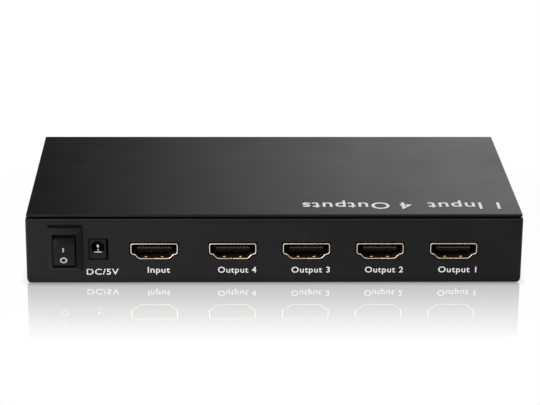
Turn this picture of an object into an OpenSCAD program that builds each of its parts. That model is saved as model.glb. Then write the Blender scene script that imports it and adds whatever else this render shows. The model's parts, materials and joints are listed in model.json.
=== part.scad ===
// Video splitter box: one input and four output sockets, a DC jack and a rocker switch
// X runs along the socket panel, Y from the socket panel to the front panel, Z up

/* [Case] */
// Depth of the tray from the socket panel to the front panel
case_d = 79; // [72:1:120]
// Height of the tray walls above the tray's underside
wall_h = 21.2; // [20.4:0.1:28]
// Thickness of the folded sheet metal
sheet = 1; // [0.8:0.1:1.2]
// Outer radius of the bends along the bottom of the two sides
bend_r = 1.8; // [1:0.1:1.9]
// Outer radius of the bends along the bottom of the socket and front panels
panel_low_r = 0.6; // [0.3:0.1:1.2]
// Outer radius of the tray's upright corners
corner_r = 1; // [0.4:0.1:1.5]
// Outer radius of the bend along the top of the socket and front panels
panel_top_r = 1.1; // [0.6:0.1:1.3]
// Radius of the top edge of the side walls
side_top_r = 0.7; // [0.3:0.1:0.75]
// Depth of the inward flange along the top of the two panels
flange = 4; // [3:0.5:6]

/* [Cover] */
// Thickness of the cover's plate and lips
cover_t = 0.8; // [0.7:0.05:1]
// Height of the dark gap between the walls and the cover plate
reveal = 0.5; // [0.3:0.1:1]
// Distance from the walls' outer faces in to the cover's edge
cover_inset = 0.3; // [0:0.1:0.8]
// Radius of the cover's upright corners
cover_corner_r = 0.6; // [0.3:0.1:1.5]
// Radius of the cover's top and bottom edges
cover_edge_r = 0.25; // [0.1:0.05:0.3]
// Height of the two lips that hang inside the side walls
lip_h = 9; // [7:0.5:10]
// Clearance between a lip and the side wall
lip_gap = 0.1; // [0.05:0.05:0.3]
// Clearance between a lip's end and the panel flanges
lip_end_gap = 2; // [1:0.5:6]

/* [Cover screws] */
// Thread radius of a cover screw
cover_screw_r = 1.25; // [1:0.05:1.5]
// Head radius of a cover screw
cover_head_r = 2.2; // [1.9:0.1:2.4]
// Height of a cover screw's sunk head
cover_head_h = 0.8; // [0.6:0.05:0.8]
// Depth of that head below the side wall's face
cover_head_sink = 0.05; // [0.02:0.01:0.1]
// Clearance round that head in its seat
cover_head_gap = 0.08; // [0.04:0.02:0.12]
// Length of a cover screw behind the side wall's face
cover_screw_len = 4.5; // [3.5:0.5:6]
// Clearance between a thread and its hole
thread_gap = 0.05; // [0.02:0.01:0.1]
// Depth of the screws below the cover plate
cover_screw_drop = 4.8; // [3.5:0.1:5]
// Distance of the screws from the two panels
cover_screw_inset = 16; // [12:1:24]
// Clearance of a cover screw in the tray's side wall
cover_hole_gap = 0.3; // [0.2:0.05:0.4]
// Length of the cross slot in a cover screw's head
cover_cross_len = 2.7; // [2:0.1:3]
// Width of that slot
cover_cross_w = 0.7; // [0.5:0.05:0.9]

/* [Feet] */
// Radius of a rubber foot
foot_r = 4.5; // [3:0.5:5.5]
// Thickness of a rubber foot
foot_t = 1; // [0.9:0.1:2]
// Depth of the seat in the floor that holds a foot
foot_seat = 0.7; // [0.2:0.1:0.8]
// Clearance round a foot in its seat
foot_gap = 0.1; // [0.05:0.05:0.3]
// Distance of the feet from the side walls' outer faces
foot_inset_x = 16; // [14:1:30]
// Distance of the feet from the panels' outer faces
foot_inset_y = 14; // [12:1:24]

/* [Panel layout] */
// Left end of the panel to the middle of the switch
edge_to_switch = 12.1; // [11:0.1:20]
// Switch to DC jack
switch_to_jack = 10.1; // [9.5:0.1:16]
// DC jack to the input socket
jack_to_input = 17.4; // [12:0.1:24]
// Input socket to the first output socket
input_to_output = 24.3; // [18:0.1:32]
// Spacing of the output sockets
output_pitch = 22.86; // [18:0.02:30]
// Last output socket to the right end of the panel
output_to_edge = 21.4; // [19:0.1:40]

/* [Video sockets] */
// Width of a socket's opening
socket_w = 14; // [13.8:0.05:14.2]
// Height of a socket's opening
socket_h = 4.55; // [4.4:0.05:4.8]
// Height of the upright part of a socket's sides
socket_side = 2.95; // [2.6:0.05:3.2]
// Width of the small ledge below each side
socket_ledge_w = 1.15; // [0.8:0.05:1.4]
// Drop of that ledge
socket_ledge_drop = 0.3; // [0.2:0.05:0.5]
// Width of the flat floor of a socket
socket_floor_w = 9.2; // [8.8:0.05:9.8]
// Rounding of the corners of the opening
socket_corner_r = 0.55; // [0.3:0.05:0.7]
// Wall of a socket's shell
socket_wall = 0.4; // [0.3:0.05:0.5]
// Length of a shell
socket_len = 11.6; // [10.5:0.1:14]
// How far a shell stands out of the panel
socket_out = 0.25; // [0:0.05:0.6]
// Clearance between a shell and its cut-out in the panel
socket_cut_gap = 0.25; // [0.15:0.05:0.4]
// Width of the seam along the bottom of a shell
socket_seam = 0.12; // [0.08:0.02:0.3]
// Spacing of the two spring bumps on a shell's floor
socket_bump_pitch = 5; // [4:0.1:6]
// Height of a spring bump
socket_bump_h = 0.35; // [0.2:0.05:0.5]
// Radius of a spring bump at the shell's floor
socket_bump_r = 0.55; // [0.4:0.05:0.7]
// Distance of a spring bump behind the panel's face
socket_bump_in = 1.3; // [1:0.1:2]
// Distance of a shell's front legs behind the panel's face
leg_front = 4.1; // [3.5:0.1:5]
// Distance of a shell's rear legs behind the panel's face
leg_rear = 9.3; // [8:0.1:9.6]
// Width of a leg
leg_w = 1; // [0.8:0.1:1.2]
// Clearance of a leg in the board
leg_gap = 0.15; // [0.1:0.05:0.3]
// Reach of a leg below the board
leg_reach = 0.6; // [0.3:0.1:1]

/* [Socket tongues] */
// Width of a tongue
tongue_w = 10.6; // [10.2:0.1:11]
// Thickness of a tongue
tongue_t = 1.5; // [1.2:0.1:1.8]
// Drop of a tongue below the roof of its socket
tongue_drop = 1.4; // [1:0.05:1.5]
// Depth of a tongue's tip behind the shell's rim
tongue_in = 1.3; // [0.8:0.1:2]
// Bevel round the tongue's tip
tip_bevel = 0.3; // [0.1:0.05:0.5]
// Length of the block that holds a tongue
block_len = 3.6; // [3:0.1:4.5]
// Clearance between that block and the shell
block_gap = 0.05; // [0.02:0.01:0.1]
// Spacing of the contact bars on a tongue
contact_pitch = 1; // [0.9:0.05:1.05]
// Width of a contact bar
contact_w = 0.3; // [0.2:0.05:0.4]
// Thickness of a contact bar
contact_t = 0.12; // [0.08:0.02:0.2]
// Distance of the contact bars behind the tongue's tip
contact_in = 0.6; // [0.5:0.1:1.2]
// Width of a contact's tail on the board
tail_w = 0.25; // [0.15:0.05:0.35]
// Depth of a contact's tail
tail_d = 0.6; // [0.4:0.1:1]
// Height of a contact's tail
tail_h = 1.9; // [1:0.1:3]

/* [DC jack] */
// Width of the jack's body
jack_w = 5.1; // [4.9:0.1:5.8]
// Height of the jack's body above the board
jack_h = 6.4; // [6.3:0.1:7.5]
// Height of the jack's axis above the board
jack_axis_h = 3.8; // [3.6:0.05:4]
// Length of the jack's body
jack_len = 11; // [9:0.5:14]
// Depth of the jack's face behind the panel's face
jack_in = 0.4; // [0:0.1:0.8]
// Clearance between the jack's sides and its cut-out
jack_cut_gap = 0.3; // [0.15:0.05:0.5]
// Clearance above the jack in its cut-out
jack_cut_top = 0.5; // [0.15:0.05:0.7]
// Clearance below the jack in its cut-out
jack_cut_low = 0.15; // [0.1:0.05:0.5]
// Extra width of the cut-out on the jack's right side
jack_cut_right = 0.4; // [0:0.05:0.6]
// Radius of the jack's bore
jack_bore_r = 2.1; // [2:0.05:2.2]
// Depth of the jack's bore
jack_bore_len = 8; // [6:0.5:8.5]
// Radius of the jack's centre pin
jack_pin_r = 0.65; // [0.5:0.05:0.8]
// Radius of the pin's shank in the jack's rear wall
jack_shank_r = 0.4; // [0.3:0.05:0.45]
// Clearance of the shank in the rear wall
jack_fit = 0.02; // [0.01:0.01:0.05]
// Depth of the pin's tip behind the jack's face
jack_pin_in = 0.8; // [0.4:0.1:2]
// Width of the jack's spring leaf
leaf_w = 2.4; // [2:0.1:3]
// Thickness of the jack's spring leaf
leaf_t = 0.3; // [0.2:0.05:0.4]
// Depth of the leaf's top face below the jack's axis
leaf_drop = 1.6; // [1.5:0.05:1.75]
// Clearance round the leaf in its slot
leaf_gap = 0.1; // [0.05:0.05:0.2]
// Depth of the leaf's tip behind the jack's face
leaf_in = 0.5; // [0.3:0.1:1.5]
// Length of the pin's solder tag behind the jack
tag_len = 1; // [0.6:0.1:2]

/* [Switch housing] */
// Height of the switch's middle above the tray's underside
switch_z = 11.65; // [9.5:0.05:12]
// Width of the window that the rocker moves in
window_w = 7.1; // [6.5:0.1:7.6]
// Height of that window
window_h = 10.5; // [9.8:0.1:10.8]
// Side wall of the housing behind the panel
housing_side = 0.75; // [0.7:0.05:1]
// End wall of the housing behind the panel
housing_end = 1.4; // [1:0.05:1.7]
// Width of the bezel beyond the housing at each side
bezel_side = 1.1; // [0.5:0.05:1.2]
// Height of the bezel beyond the housing at each end
bezel_end = 0.45; // [0.4:0.05:0.8]
// How far the bezel stands out of the panel
bezel_out = 3; // [1.8:0.1:3.4]
// Upright edge of the bezel where it meets the panel
bezel_edge = 1.5; // [0.2:0.05:1.5]
// Flat land round the window at the front of the bezel
bezel_land = 0.3; // [0.15:0.05:0.6]
// Length of the housing behind the panel's face
housing_len = 10.5; // [10:0.5:13]
// Thickness of the housing's inner floor
housing_floor = 1.5; // [1:0.1:1.8]
// Clearance between the housing and its cut-out
switch_cut_gap = 0.1; // [0.05:0.05:0.2]
// Height of the snap wings
wing_h = 0.8; // [0.5:0.1:1]
// Width of the snap wings
wing_w = 3.5; // [2:0.1:5]
// Length of the snap wings' slope
wing_len = 2.3; // [1.5:0.1:3]

/* [Rocker] */
// Tilt of the rocker to each side of its middle position
rocker_tilt = 10; // [6:1:12]
// Clearance between the rocker's round ends and the window
rocker_end_gap = 0.2; // [0.15:0.05:0.4]
// Clearance at each side of the rocker
rocker_side_gap = 0.25; // [0.15:0.05:0.35]
// Half the angle between the rocker's two front edges, seen from its pivot
rocker_tip_angle = 39; // [36:1:41]
// Distance of the rocker's two front edges from its pivot
rocker_tip_r = 5.8; // [5.4:0.1:6]
// Angle from a front edge to where the rocker's round end begins
rocker_end_angle = 26; // [22:1:28]
// Depth of the valley between the rocker's two faces
rocker_valley = 0.35; // [0.1:0.05:0.6]
// Depth of the rocker's back behind its pivot
rocker_back = 1.3; // [1.2:0.1:1.8]
// Radius of the rocker's two pivot pins
pivot_r = 1; // [0.8:0.05:1.1]
// Radial clearance of the pivot pins
pivot_gap = 0.04; // [0.02:0.01:0.08]
// Depth of the blind bores that hold the pivot pins
pivot_bore = 0.5; // [0.3:0.05:0.55]
// Clearance between a pivot pin's end and its bore
pivot_end_gap = 0.1; // [0.05:0.05:0.15]

/* [Switch works] */
// Radius of the plunger
plunger_r = 0.9; // [0.8:0.05:0.95]
// Clearance of the plunger in the rocker's stem
plunger_gap = 0.1; // [0.05:0.01:0.12]
// Wall of the rocker's stem
stem_wall = 0.7; // [0.5:0.05:0.9]
// Reach of the rocker's stem behind its pivot
stem_reach = 4; // [3.5:0.1:4.4]
// Reach of the plunger's tip behind the pivot
plunger_reach = 6; // [5.6:0.1:6.2]
// Length of the plunger
plunger_len = 4.8; // [4:0.1:5]
// Depth of the stem's bore in front of the pivot
stem_bore_front = 1.6; // [1.4:0.1:1.9]
// Turns of the spring
spring_turns = 3.5; // [3:0.5:4]
// Radius of the spring's wire
spring_wire_r = 0.14; // [0.1:0.02:0.16]
// Clearance between the spring and what it touches
spring_gap = 0.06; // [0.04:0.01:0.1]
// Clearance between the plunger and the lever, at the rocker's middle position
lever_gap = 0.12; // [0.08:0.01:0.2]
// Tilt of the contact lever to each side of its middle position
lever_tilt = 6; // [4:1:7]
// Length of each arm of the lever
lever_arm = 3.4; // [3:0.1:3.8]
// Width of the lever and of the blades
blade_w = 3; // [2:0.1:4]
// Thickness of the lever
lever_t = 0.4; // [0.3:0.05:0.5]
// Thickness of the two blades
blade_t = 0.8; // [0.5:0.05:1]
// Distance of the load blade below the common blade
blade_pitch = 2.7; // [2.4:0.1:2.9]
// Height of the contact button under the lever
button_h = 0.3; // [0.2:0.05:0.4]
// Radius of the contact buttons
button_r = 0.7; // [0.5:0.05:0.8]
// Gap under the lever's pivot and under its closed contact
contact_gap = 0.1; // [0.06:0.01:0.15]
// Radius of the bead on the lever's back that it tips on
bead_r = 0.3; // [0.2:0.05:0.35]
// Width of the common blade's edge under that bead
fulcrum_w = 0.2; // [0.1:0.05:0.4]
// How far the blades stand out of the housing
blade_out = 6; // [4:0.5:8]
// Radius of an insulated wire
wire_r = 0.6; // [0.4:0.05:0.7]
// How far the supply wire bends above its pad
supply_rise = 10; // [6:0.5:12]
// How far the switched wire bends above its pad
switched_rise = 8; // [6:0.5:10]

/* [Circuit board] */
// Height of the standoffs
standoff_h = 5.3; // [4:0.1:5.8]
// Thickness of the board
board_t = 1.6; // [1.2:0.1:1.8]
// Clearance between the board and the walls
board_gap = 1.5; // [1:0.1:2.5]
// Distance of the board's holes from its edges
board_hole_edge = 5; // [4.5:0.1:6]
// Width across the flats of a standoff
standoff_w = 5; // [4.5:0.1:5.5]
// Thread radius of a board screw
board_screw_r = 1.2; // [1:0.05:1.4]
// Head radius of a board screw
board_head_r = 2.5; // [2.2:0.1:2.8]
// Head height of a board screw
board_head_h = 1.5; // [1:0.1:2]
// Length of the cross slot in a board screw's head
board_cross_len = 3; // [2:0.1:3.6]
// Width of that slot
board_cross_w = 0.75; // [0.5:0.05:0.9]
// Length of a board screw under its head
board_screw_len = 5; // [4:0.1:5.5]
// Clearance of a board screw in the board
board_hole_gap = 0.3; // [0.2:0.05:0.4]
// Clearance between the switch and the notch in the board
notch_gap = 1.2; // [0.8:0.1:2]
// Room behind the switch's blades for the wires to bend
wire_room = 7; // [6:0.5:10]
// Distance of the wires' pads from the notch
pad_inset = 3; // [2:0.5:5]

/* [Parts on the board] */
// Distance of the splitter chip behind the middle of the case
chip_back = 4; // [0:0.5:8]
// Number of leads on each side of the splitter chip
chip_leads = 12; // [8:1:16]
// Reach of a chip's leads
chip_lead_out = 0.8; // [0.5:0.1:1.2]
// Width of a chip's leads
chip_lead_w = 0.4; // [0.2:0.05:0.6]
// Height of a chip's leads
chip_lead_h = 0.4; // [0.2:0.05:0.7]
// Gap under a chip's body
chip_lift = 0.1; // [0.05:0.05:0.2]
// Side of the splitter chip
chip_w = 14; // [10:1:20]
// Height of the splitter chip
chip_h = 1.5; // [1:0.1:2]
// Thickness of the thermal pad
pad_t = 0.5; // [0.3:0.1:1]
// Side of the heat sink
sink_w = 22; // [20:1:26]
// Height of the heat sink
sink_h = 8; // [5:0.5:9]
// Thickness of the heat sink's base
sink_base = 2; // [1.5:0.1:3]
// Number of fins
sink_fins = 7; // [5:1:9]
// Thickness of a fin
fin_t = 1.2; // [0.8:0.1:1.4]
// Side of a line driver chip
driver_w = 5; // [4:0.5:6]
// Height of a line driver chip
driver_h = 1.1; // [0.8:0.1:1.5]
// Number of leads on each side of a line driver chip
driver_leads = 4; // [3:1:5]
// Distance of the line drivers behind the sockets
driver_back = 5; // [4:0.5:8]
// Distance of the supply parts to the right of the DC jack
supply_right = 8; // [6:0.5:10]
// Distance of the inductor behind the middle of the case
supply_back = 6; // [2:0.5:8]
// Spacing between the supply parts
supply_gap = 4; // [3:0.5:6]
// Width of the voltage regulator
reg_w = 6.5; // [5:0.5:7]
// Depth of the voltage regulator
reg_d = 3.5; // [3:0.5:4]
// Height of the voltage regulator
reg_h = 1.6; // [1:0.1:2]
// Number of leads on each side of the voltage regulator
reg_leads = 3; // [2:1:4]
// Radius of a capacitor can
can_r = 3.15; // [2.5:0.05:4]
// Height of a capacitor can
can_h = 8; // [5:0.5:10]
// Spacing of the capacitors
can_pitch = 9; // [8.5:0.5:12]
// Height of the groove above a capacitor's foot
can_groove_z = 1; // [0.6:0.1:2]
// Width of that groove
can_groove_w = 0.6; // [0.3:0.1:1]
// Depth of that groove
can_groove_d = 0.22; // [0.1:0.02:0.4]
// Bevel round a capacitor's top
can_bevel = 0.3; // [0.1:0.05:0.5]
// Side of the inductor
coil_w = 7; // [5:0.5:8]
// Height of the inductor
coil_h = 4; // [3:0.5:6]
// How far the inductor's round corners stand beyond its sides
coil_corner = 0.8; // [0.5:0.1:0.9]
// Distance of the ring groove on the inductor from its sides
coil_groove_edge = 0.6; // [0.3:0.1:1]
// Width of that groove
coil_groove_w = 0.7; // [0.4:0.1:1]
// Depth of that groove
coil_groove_d = 0.4; // [0.2:0.1:1]
// Length of the crystal's can
crystal_len = 10.5; // [8:0.5:12]
// Width of the crystal's can
crystal_w = 4; // [3:0.1:5]
// Height of the crystal's can
crystal_h = 3.5; // [3:0.1:5]
// Width and height of the rim round the crystal's foot
crystal_rim = 0.4; // [0.2:0.1:0.6]

/* [Indicator lights] */
// Radius of a light's lens
led_r = 1.5; // [1.4:0.05:2]
// Clearance of a lens in the front panel
led_gap = 0.1; // [0.05:0.05:0.2]
// How far a lens stands out of the front panel
led_out = 1.2; // [0.8:0.1:2.5]
// Height of the lights above the board
led_h = 3.6; // [3:0.1:5]
// Spacing of the lights
led_pitch = 14; // [8:1:18]
// Length of a light's body behind the panel
led_len = 3.4; // [2.5:0.1:5]
// Rim of a light's body beyond its lens
led_rim = 0.4; // [0.3:0.05:0.6]
// Spacing of a light's two leads
lead_pitch = 2.54; // [2:0.02:2.6]
// Thickness of a lead
lead_t = 0.5; // [0.4:0.05:0.6]
// Length of the leads behind a light's body
lead_len = 2.5; // [2:0.1:4]

/* [Hidden] */
$fn = 48;
// Sockets from left to right
ports = ["input", "output_4", "output_3", "output_2", "output_1"];
leds = ["power", "out_1", "out_2", "out_3", "out_4"];
corners = [1, 2, 3, 4];
cans = [1, 2, 3];
drivers = [1, 2, 3, 4, 5];
// Contact bars on the two sides of a tongue
top_bars = 10;
low_bars = 9;

// A cut reaches this far past the face that it opens
past = 1;
// Two solids of one piece run into each other by this much
join = 0.2;
// Steps in each round corner of a socket's outline
corner_steps = 5;
// Sides and rings of the round wires
spring_sides = 6;
spring_steps = 16;
wire_sides = 8;
wire_rings = 24;

// Colours
black_paint = [0.075, 0.075, 0.08];
black_plastic = [0.05, 0.05, 0.055];
dark_plastic = [0.16, 0.16, 0.18];
gold = [0.83, 0.62, 0.3];
bright_metal = [0.75, 0.75, 0.77];
copper = [0.72, 0.45, 0.25];
board_green = [0.05, 0.28, 0.13];
rubber = [0.06, 0.06, 0.06];
pad_grey = [0.6, 0.62, 0.65];
ferrite_grey = [0.22, 0.22, 0.23];
sleeve_blue = [0.1, 0.1, 0.25];
lens_red = [0.75, 0.1, 0.08];
lens_green = [0.15, 0.65, 0.25];

// Places along the panel
case_w = edge_to_switch + switch_to_jack + jack_to_input + input_to_output
    + 3 * output_pitch + output_to_edge;
switch_x = edge_to_switch - case_w / 2;
jack_x = switch_x + switch_to_jack;
input_x = jack_x + jack_to_input;
function port_x(i) = i == 0 ? input_x : input_x + input_to_output + (i - 1) * output_pitch;

// Heights above the tray's underside
board_top = sheet + standoff_h + board_t;
port_z = board_top + socket_wall + socket_h / 2;
jack_z = board_top + jack_axis_h;
cover_z = wall_h + reveal;
cover_screw_z = cover_z - cover_screw_drop;
led_z = board_top + led_h;

// Sizes of the switch
housing_w = window_w + 2 * housing_side;
housing_h = window_h + 2 * housing_end;
bezel_w = housing_w + 2 * bezel_side;
bezel_h = housing_h + 2 * bezel_end;
rocker_r = window_h / 2 - rocker_end_gap;
rocker_w = window_w - 2 * rocker_side_gap;
stem_bore_r = plunger_r + plunger_gap;
lever_face = plunger_reach + lever_gap;
lever_back = lever_face + lever_t;
load_y = lever_back + button_h + contact_gap;
blade_end = housing_len + blade_out;

// The part stands on its feet, with the middle of its whole box at the origin
lift = foot_t - foot_seat;
rocker_out = rocker_tip_r * cos(rocker_tip_angle - rocker_tilt);
face_y = (rocker_out - led_out - case_d) / 2;
module place() translate([0, face_y, lift]) children();

// The board's edges, its notch and its holes
board_x = case_w / 2 - sheet - board_gap;
board_y0 = sheet + board_gap;
board_y1 = case_d - sheet - board_gap;
notch_x = switch_x + housing_w / 2 + notch_gap;
notch_y = blade_end + wire_room;
board_holes = [
    [-board_x + board_hole_edge, notch_y + board_hole_edge],
    [board_x - board_hole_edge, board_y0 + board_hole_edge],
    [-board_x + board_hole_edge, board_y1 - board_hole_edge],
    [board_x - board_hole_edge, board_y1 - board_hole_edge]
];
foot_places = [for (sx = [-1, 1], fy = [foot_inset_y, case_d - foot_inset_y])
    [sx * (case_w / 2 - foot_inset_x), fy]];

// Places of the parts on the board, behind the sockets
driver_y = socket_len + driver_back;
chip_y = case_d / 2 + chip_back;
chip_x = port_x(2);
supply_x = jack_x + supply_right;
supply_y = case_d / 2 + supply_back;
pad_x = notch_x + pad_inset;

// Extrudes an outline drawn in Y and Z along X, centred on X
module along_x(len) rotate([90, 0, 90]) linear_extrude(len, center = true) children();
// Extrudes an outline drawn in X and Z along Y, from y0 on
module along_y(y0, len) translate([0, y0 + len, 0]) rotate([90, 0, 0]) linear_extrude(len) children();
// A cylinder along X, centred on X
module rod_x(r, len) rotate([0, 90, 0]) cylinder(r = r, h = len, center = true);
// A cylinder along Y, from y0 on
module rod_y(r, y0, len) translate([0, y0, 0]) rotate([-90, 0, 0]) cylinder(r = r, h = len);
// Copies along X, centred on X
module in_row(count, pitch)
    for (k = [0 : count - 1])
        translate([(k - (count - 1) / 2) * pitch, 0, 0]) children();
// A box centred on X, from y0 on and standing on z0
module box(w, y0, d, z0, h) translate([-w / 2, y0, z0]) cube([w, d, h]);

// A rectangle on the base line with round lower and upper corners
module round_rect(w, h, low_r, top_r) {
    translate([-w / 2, low_r]) square([w, h - low_r - top_r]);
    translate([low_r - w / 2, 0]) square([w - 2 * low_r, h / 2]);
    translate([top_r - w / 2, h / 2]) square([w - 2 * top_r, h / 2]);
    for (s = [-1, 1]) {
        translate([s * (w / 2 - low_r), low_r]) circle(low_r);
        translate([s * (w / 2 - top_r), h - top_r]) circle(top_r);
    }
}

// A box standing at the panel's plane with rounded edges
module round_box(w, d, h, side_low, side_top, panel_low, panel_top, plan_r) intersection() {
    along_y(0, d) round_rect(w, h, side_low, side_top);
    translate([0, d / 2, 0]) along_x(w) round_rect(d, h, panel_low, panel_top);
    linear_extrude(h) round_rect(w, d, plan_r, plan_r);
}

// Outline functions: a closed list of corners, grown outwards or with its corners rounded
function unit(v) = v / norm(v);
function corner_before(pts, i) = pts[(i + len(pts) - 1) % len(pts)];
function corner_after(pts, i) = pts[(i + 1) % len(pts)];
function edge_normal(a, b) = let (d = unit(b - a)) [d.y, -d.x];
function grown(pts, by) = [for (i = [0 : len(pts) - 1])
    let (
        n = edge_normal(corner_before(pts, i), pts[i]),
        m = edge_normal(pts[i], corner_after(pts, i))
    )
    pts[i] + by * (n + m) / (1 + n * m)];
function arc_points(p, a, b, r, steps) =
    let (
        half = acos(unit(a - p) * unit(b - p)) / 2,
        centre = p + unit(unit(a - p) + unit(b - p)) * r / sin(half),
        from = p + unit(a - p) * r / tan(half) - centre,
        to = p + unit(b - p) * r / tan(half) - centre,
        turn = acos(max(-1, min(1, unit(from) * unit(to))))
    )
    [for (k = [0 : steps]) centre
        + (sin(turn * (1 - k / steps)) * from + sin(turn * k / steps) * to) / sin(turn)];
function rounded(pts, r, steps) = [for (i = [0 : len(pts) - 1])
    each arc_points(pts[i], corner_before(pts, i), corner_after(pts, i), r, steps)];

// A tube along a path: rings of points, side triangles and two end fans
function ring(p, dir, r, sides, ref) =
    let (
        side = unit(cross(dir, ref)),
        up = cross(side, dir)
    )
    [for (k = [0 : sides - 1]) p + r * cos(360 * k / sides) * side + r * sin(360 * k / sides) * up];
function path_dir(path, i) =
    unit(path[min(i + 1, len(path) - 1)] - path[max(i - 1, 0)]);
module tube(path, r, sides, ref, first_dir, last_dir) {
    last = len(path) - 1;
    rings = [for (i = [0 : last])
        ring(path[i], i == 0 ? first_dir : i == last ? last_dir : path_dir(path, i), r, sides, ref)];
    points = [for (one = rings) each one];
    function at(i, k) = i * sides + k % sides;
    skin = [for (i = [0 : last - 1], k = [0 : sides - 1]) each [
        [at(i, k + 1), at(i + 1, k + 1), at(i, k)],
        [at(i + 1, k + 1), at(i + 1, k), at(i, k)]
    ]];
    first_cap = [for (k = [1 : sides - 2]) [at(0, 0), at(0, k + 1), at(0, k)]];
    last_cap = [for (k = [1 : sides - 2]) [at(last, 0), at(last, k), at(last, k + 1)]];
    polyhedron(points, concat(skin, first_cap, last_cap));
}
function bezier(a, b, c, d, t) =
    pow(1 - t, 3) * a + 3 * t * pow(1 - t, 2) * b + 3 * t * t * (1 - t) * c + pow(t, 3) * d;

// Case
module socket_opening(by) {
    half = socket_w / 2;
    roof = socket_h / 2;
    side_end = roof - socket_side;
    right = [
        [socket_floor_w / 2, -roof],
        [half - socket_ledge_w, side_end - socket_ledge_drop],
        [half, side_end],
        [half, roof]
    ];
    left = [for (i = [3 : -1 : 0]) [-right[i].x, right[i].y]];
    outline = grown(concat(right, left), by);
    polygon(rounded(outline, socket_corner_r, corner_steps));
}

module tray_shell() difference() {
    round_box(case_w, case_d, wall_h, bend_r, side_top_r, panel_low_r, panel_top_r, corner_r);
    box(case_w - 2 * sheet, sheet, case_d - 2 * sheet, sheet, wall_h - 2 * sheet);
    box(case_w - 2 * sheet, sheet + flange, case_d - 2 * (sheet + flange), wall_h / 2, wall_h);
}

module panel_cuts() {
    for (i = [0 : len(ports) - 1])
        translate([port_x(i), 0, port_z]) along_y(-past, sheet + 2 * past)
            socket_opening(socket_wall + socket_cut_gap);
    translate([jack_x - jack_w / 2 - jack_cut_gap, -past, board_top - jack_cut_low])
        cube([jack_w + 2 * jack_cut_gap + jack_cut_right, sheet + 2 * past,
            jack_h + jack_cut_low + jack_cut_top]);
    translate([switch_x, 0, switch_z])
        box(housing_w + 2 * switch_cut_gap, -past, sheet + 2 * past,
            -housing_h / 2 - switch_cut_gap, housing_h + 2 * switch_cut_gap);
}

module front_cuts()
    for (i = [0 : len(leds) - 1])
        translate([led_x(i), 0, led_z]) rod_y(led_r + led_gap, case_d - sheet - past, sheet + 2 * past);

module screw_axes()
    for (s = [-1, 1], y = [cover_screw_inset, case_d - cover_screw_inset])
        translate([s * case_w / 2, y, cover_screw_z]) rotate([0, s * 90, 0]) children();

// Head of a cover screw, sunk below the plane Z = 0 and grown by a gap
module sunk_head(gap) translate([0, 0, -cover_head_sink - cover_head_h])
    cylinder(r1 = cover_screw_r + gap, r2 = cover_head_r + gap, h = cover_head_h);

module base_tray() color(black_paint) place() difference() {
    union() {
        tray_shell();
        for (f = foot_places)
            translate([f.x, f.y, sheet - join])
                cylinder(r = foot_r + foot_gap + sheet, h = foot_seat + join);
    }
    panel_cuts();
    front_cuts();
    screw_axes() {
        translate([0, 0, -sheet - past])
            cylinder(r = cover_screw_r + cover_hole_gap, h = sheet + 2 * past);
        sunk_head(cover_head_gap);
        translate([0, 0, -cover_head_sink - join])
            cylinder(r = cover_head_r + cover_head_gap, h = cover_head_sink + past + join);
    }
    for (f = foot_places)
        translate([f.x, f.y, -past]) cylinder(r = foot_r + foot_gap, h = foot_seat + past);
}

module top_cover() color(black_paint) place() difference() {
    lip_x = case_w / 2 - sheet - lip_gap - cover_t / 2;
    lip_y = sheet + flange + lip_end_gap;
    union() {
        translate([0, cover_inset, cover_z])
            round_box(case_w - 2 * cover_inset, case_d - 2 * cover_inset, cover_t,
                cover_edge_r, cover_edge_r, cover_edge_r, cover_edge_r, cover_corner_r);
        for (s = [-1, 1])
            translate([s * lip_x, 0, 0])
                box(cover_t, lip_y, case_d - 2 * lip_y, cover_z - lip_h, lip_h + cover_t / 2);
    }
    screw_axes() translate([0, 0, -cover_screw_len - past])
        cylinder(r = cover_screw_r + thread_gap, h = cover_screw_len + past);
}

// What a cross slot takes out of the upper half of a head that stands on the plane Z = 0
module cross_slot(head_h, len, w)
    for (a = [0, 90])
        rotate(a) translate([-len / 2, -w / 2, head_h / 2]) cube([len, w, head_h]);

// A screw whose head stands on the plane Z = 0
module screw(r, len, head_r, head_h, cross_len, cross_w) difference() {
    union() {
        cylinder(r = head_r, h = head_h);
        translate([0, 0, -len]) cylinder(r = r, h = len + join);
    }
    cross_slot(head_h, cross_len, cross_w);
}

module cover_screws() color(black_plastic) place() screw_axes() difference() {
    union() {
        sunk_head(0);
        translate([0, 0, -cover_screw_len])
            cylinder(r = cover_screw_r, h = cover_screw_len - cover_head_sink - cover_head_h + join);
    }
    translate([0, 0, -cover_head_sink - cover_head_h])
        cross_slot(cover_head_h, cover_cross_len, cover_cross_w);
}

module foot(i) color(rubber) place()
    translate([foot_places[i].x, foot_places[i].y, -lift]) cylinder(r = foot_r, h = foot_t);

// Circuit board and what carries it
module board_standoffs() color(bright_metal) place()
    for (h = board_holes)
        translate([h.x, h.y, sheet]) difference() {
            cylinder(r = standoff_w / 2 / cos(30), h = standoff_h, $fn = 6);
            translate([0, 0, board_t + standoff_h - board_screw_len - past])
                cylinder(r = board_screw_r + thread_gap, h = standoff_h);
        }

module board_screws() color(bright_metal) place()
    for (h = board_holes)
        translate([h.x, h.y, board_top])
            screw(board_screw_r, board_screw_len, board_head_r, board_head_h,
                board_cross_len, board_cross_w);

// Legs of a socket's shell, front and rear pair
module shell_legs(gap, top)
    for (s = [-1, 1], y = [leg_front, leg_rear])
        translate([s * (socket_w + socket_wall) / 2, 0, 0])
            box(socket_wall + 2 * gap, y - leg_w / 2 - gap, leg_w + 2 * gap,
                -board_t - leg_reach, board_t + leg_reach + top);

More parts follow.
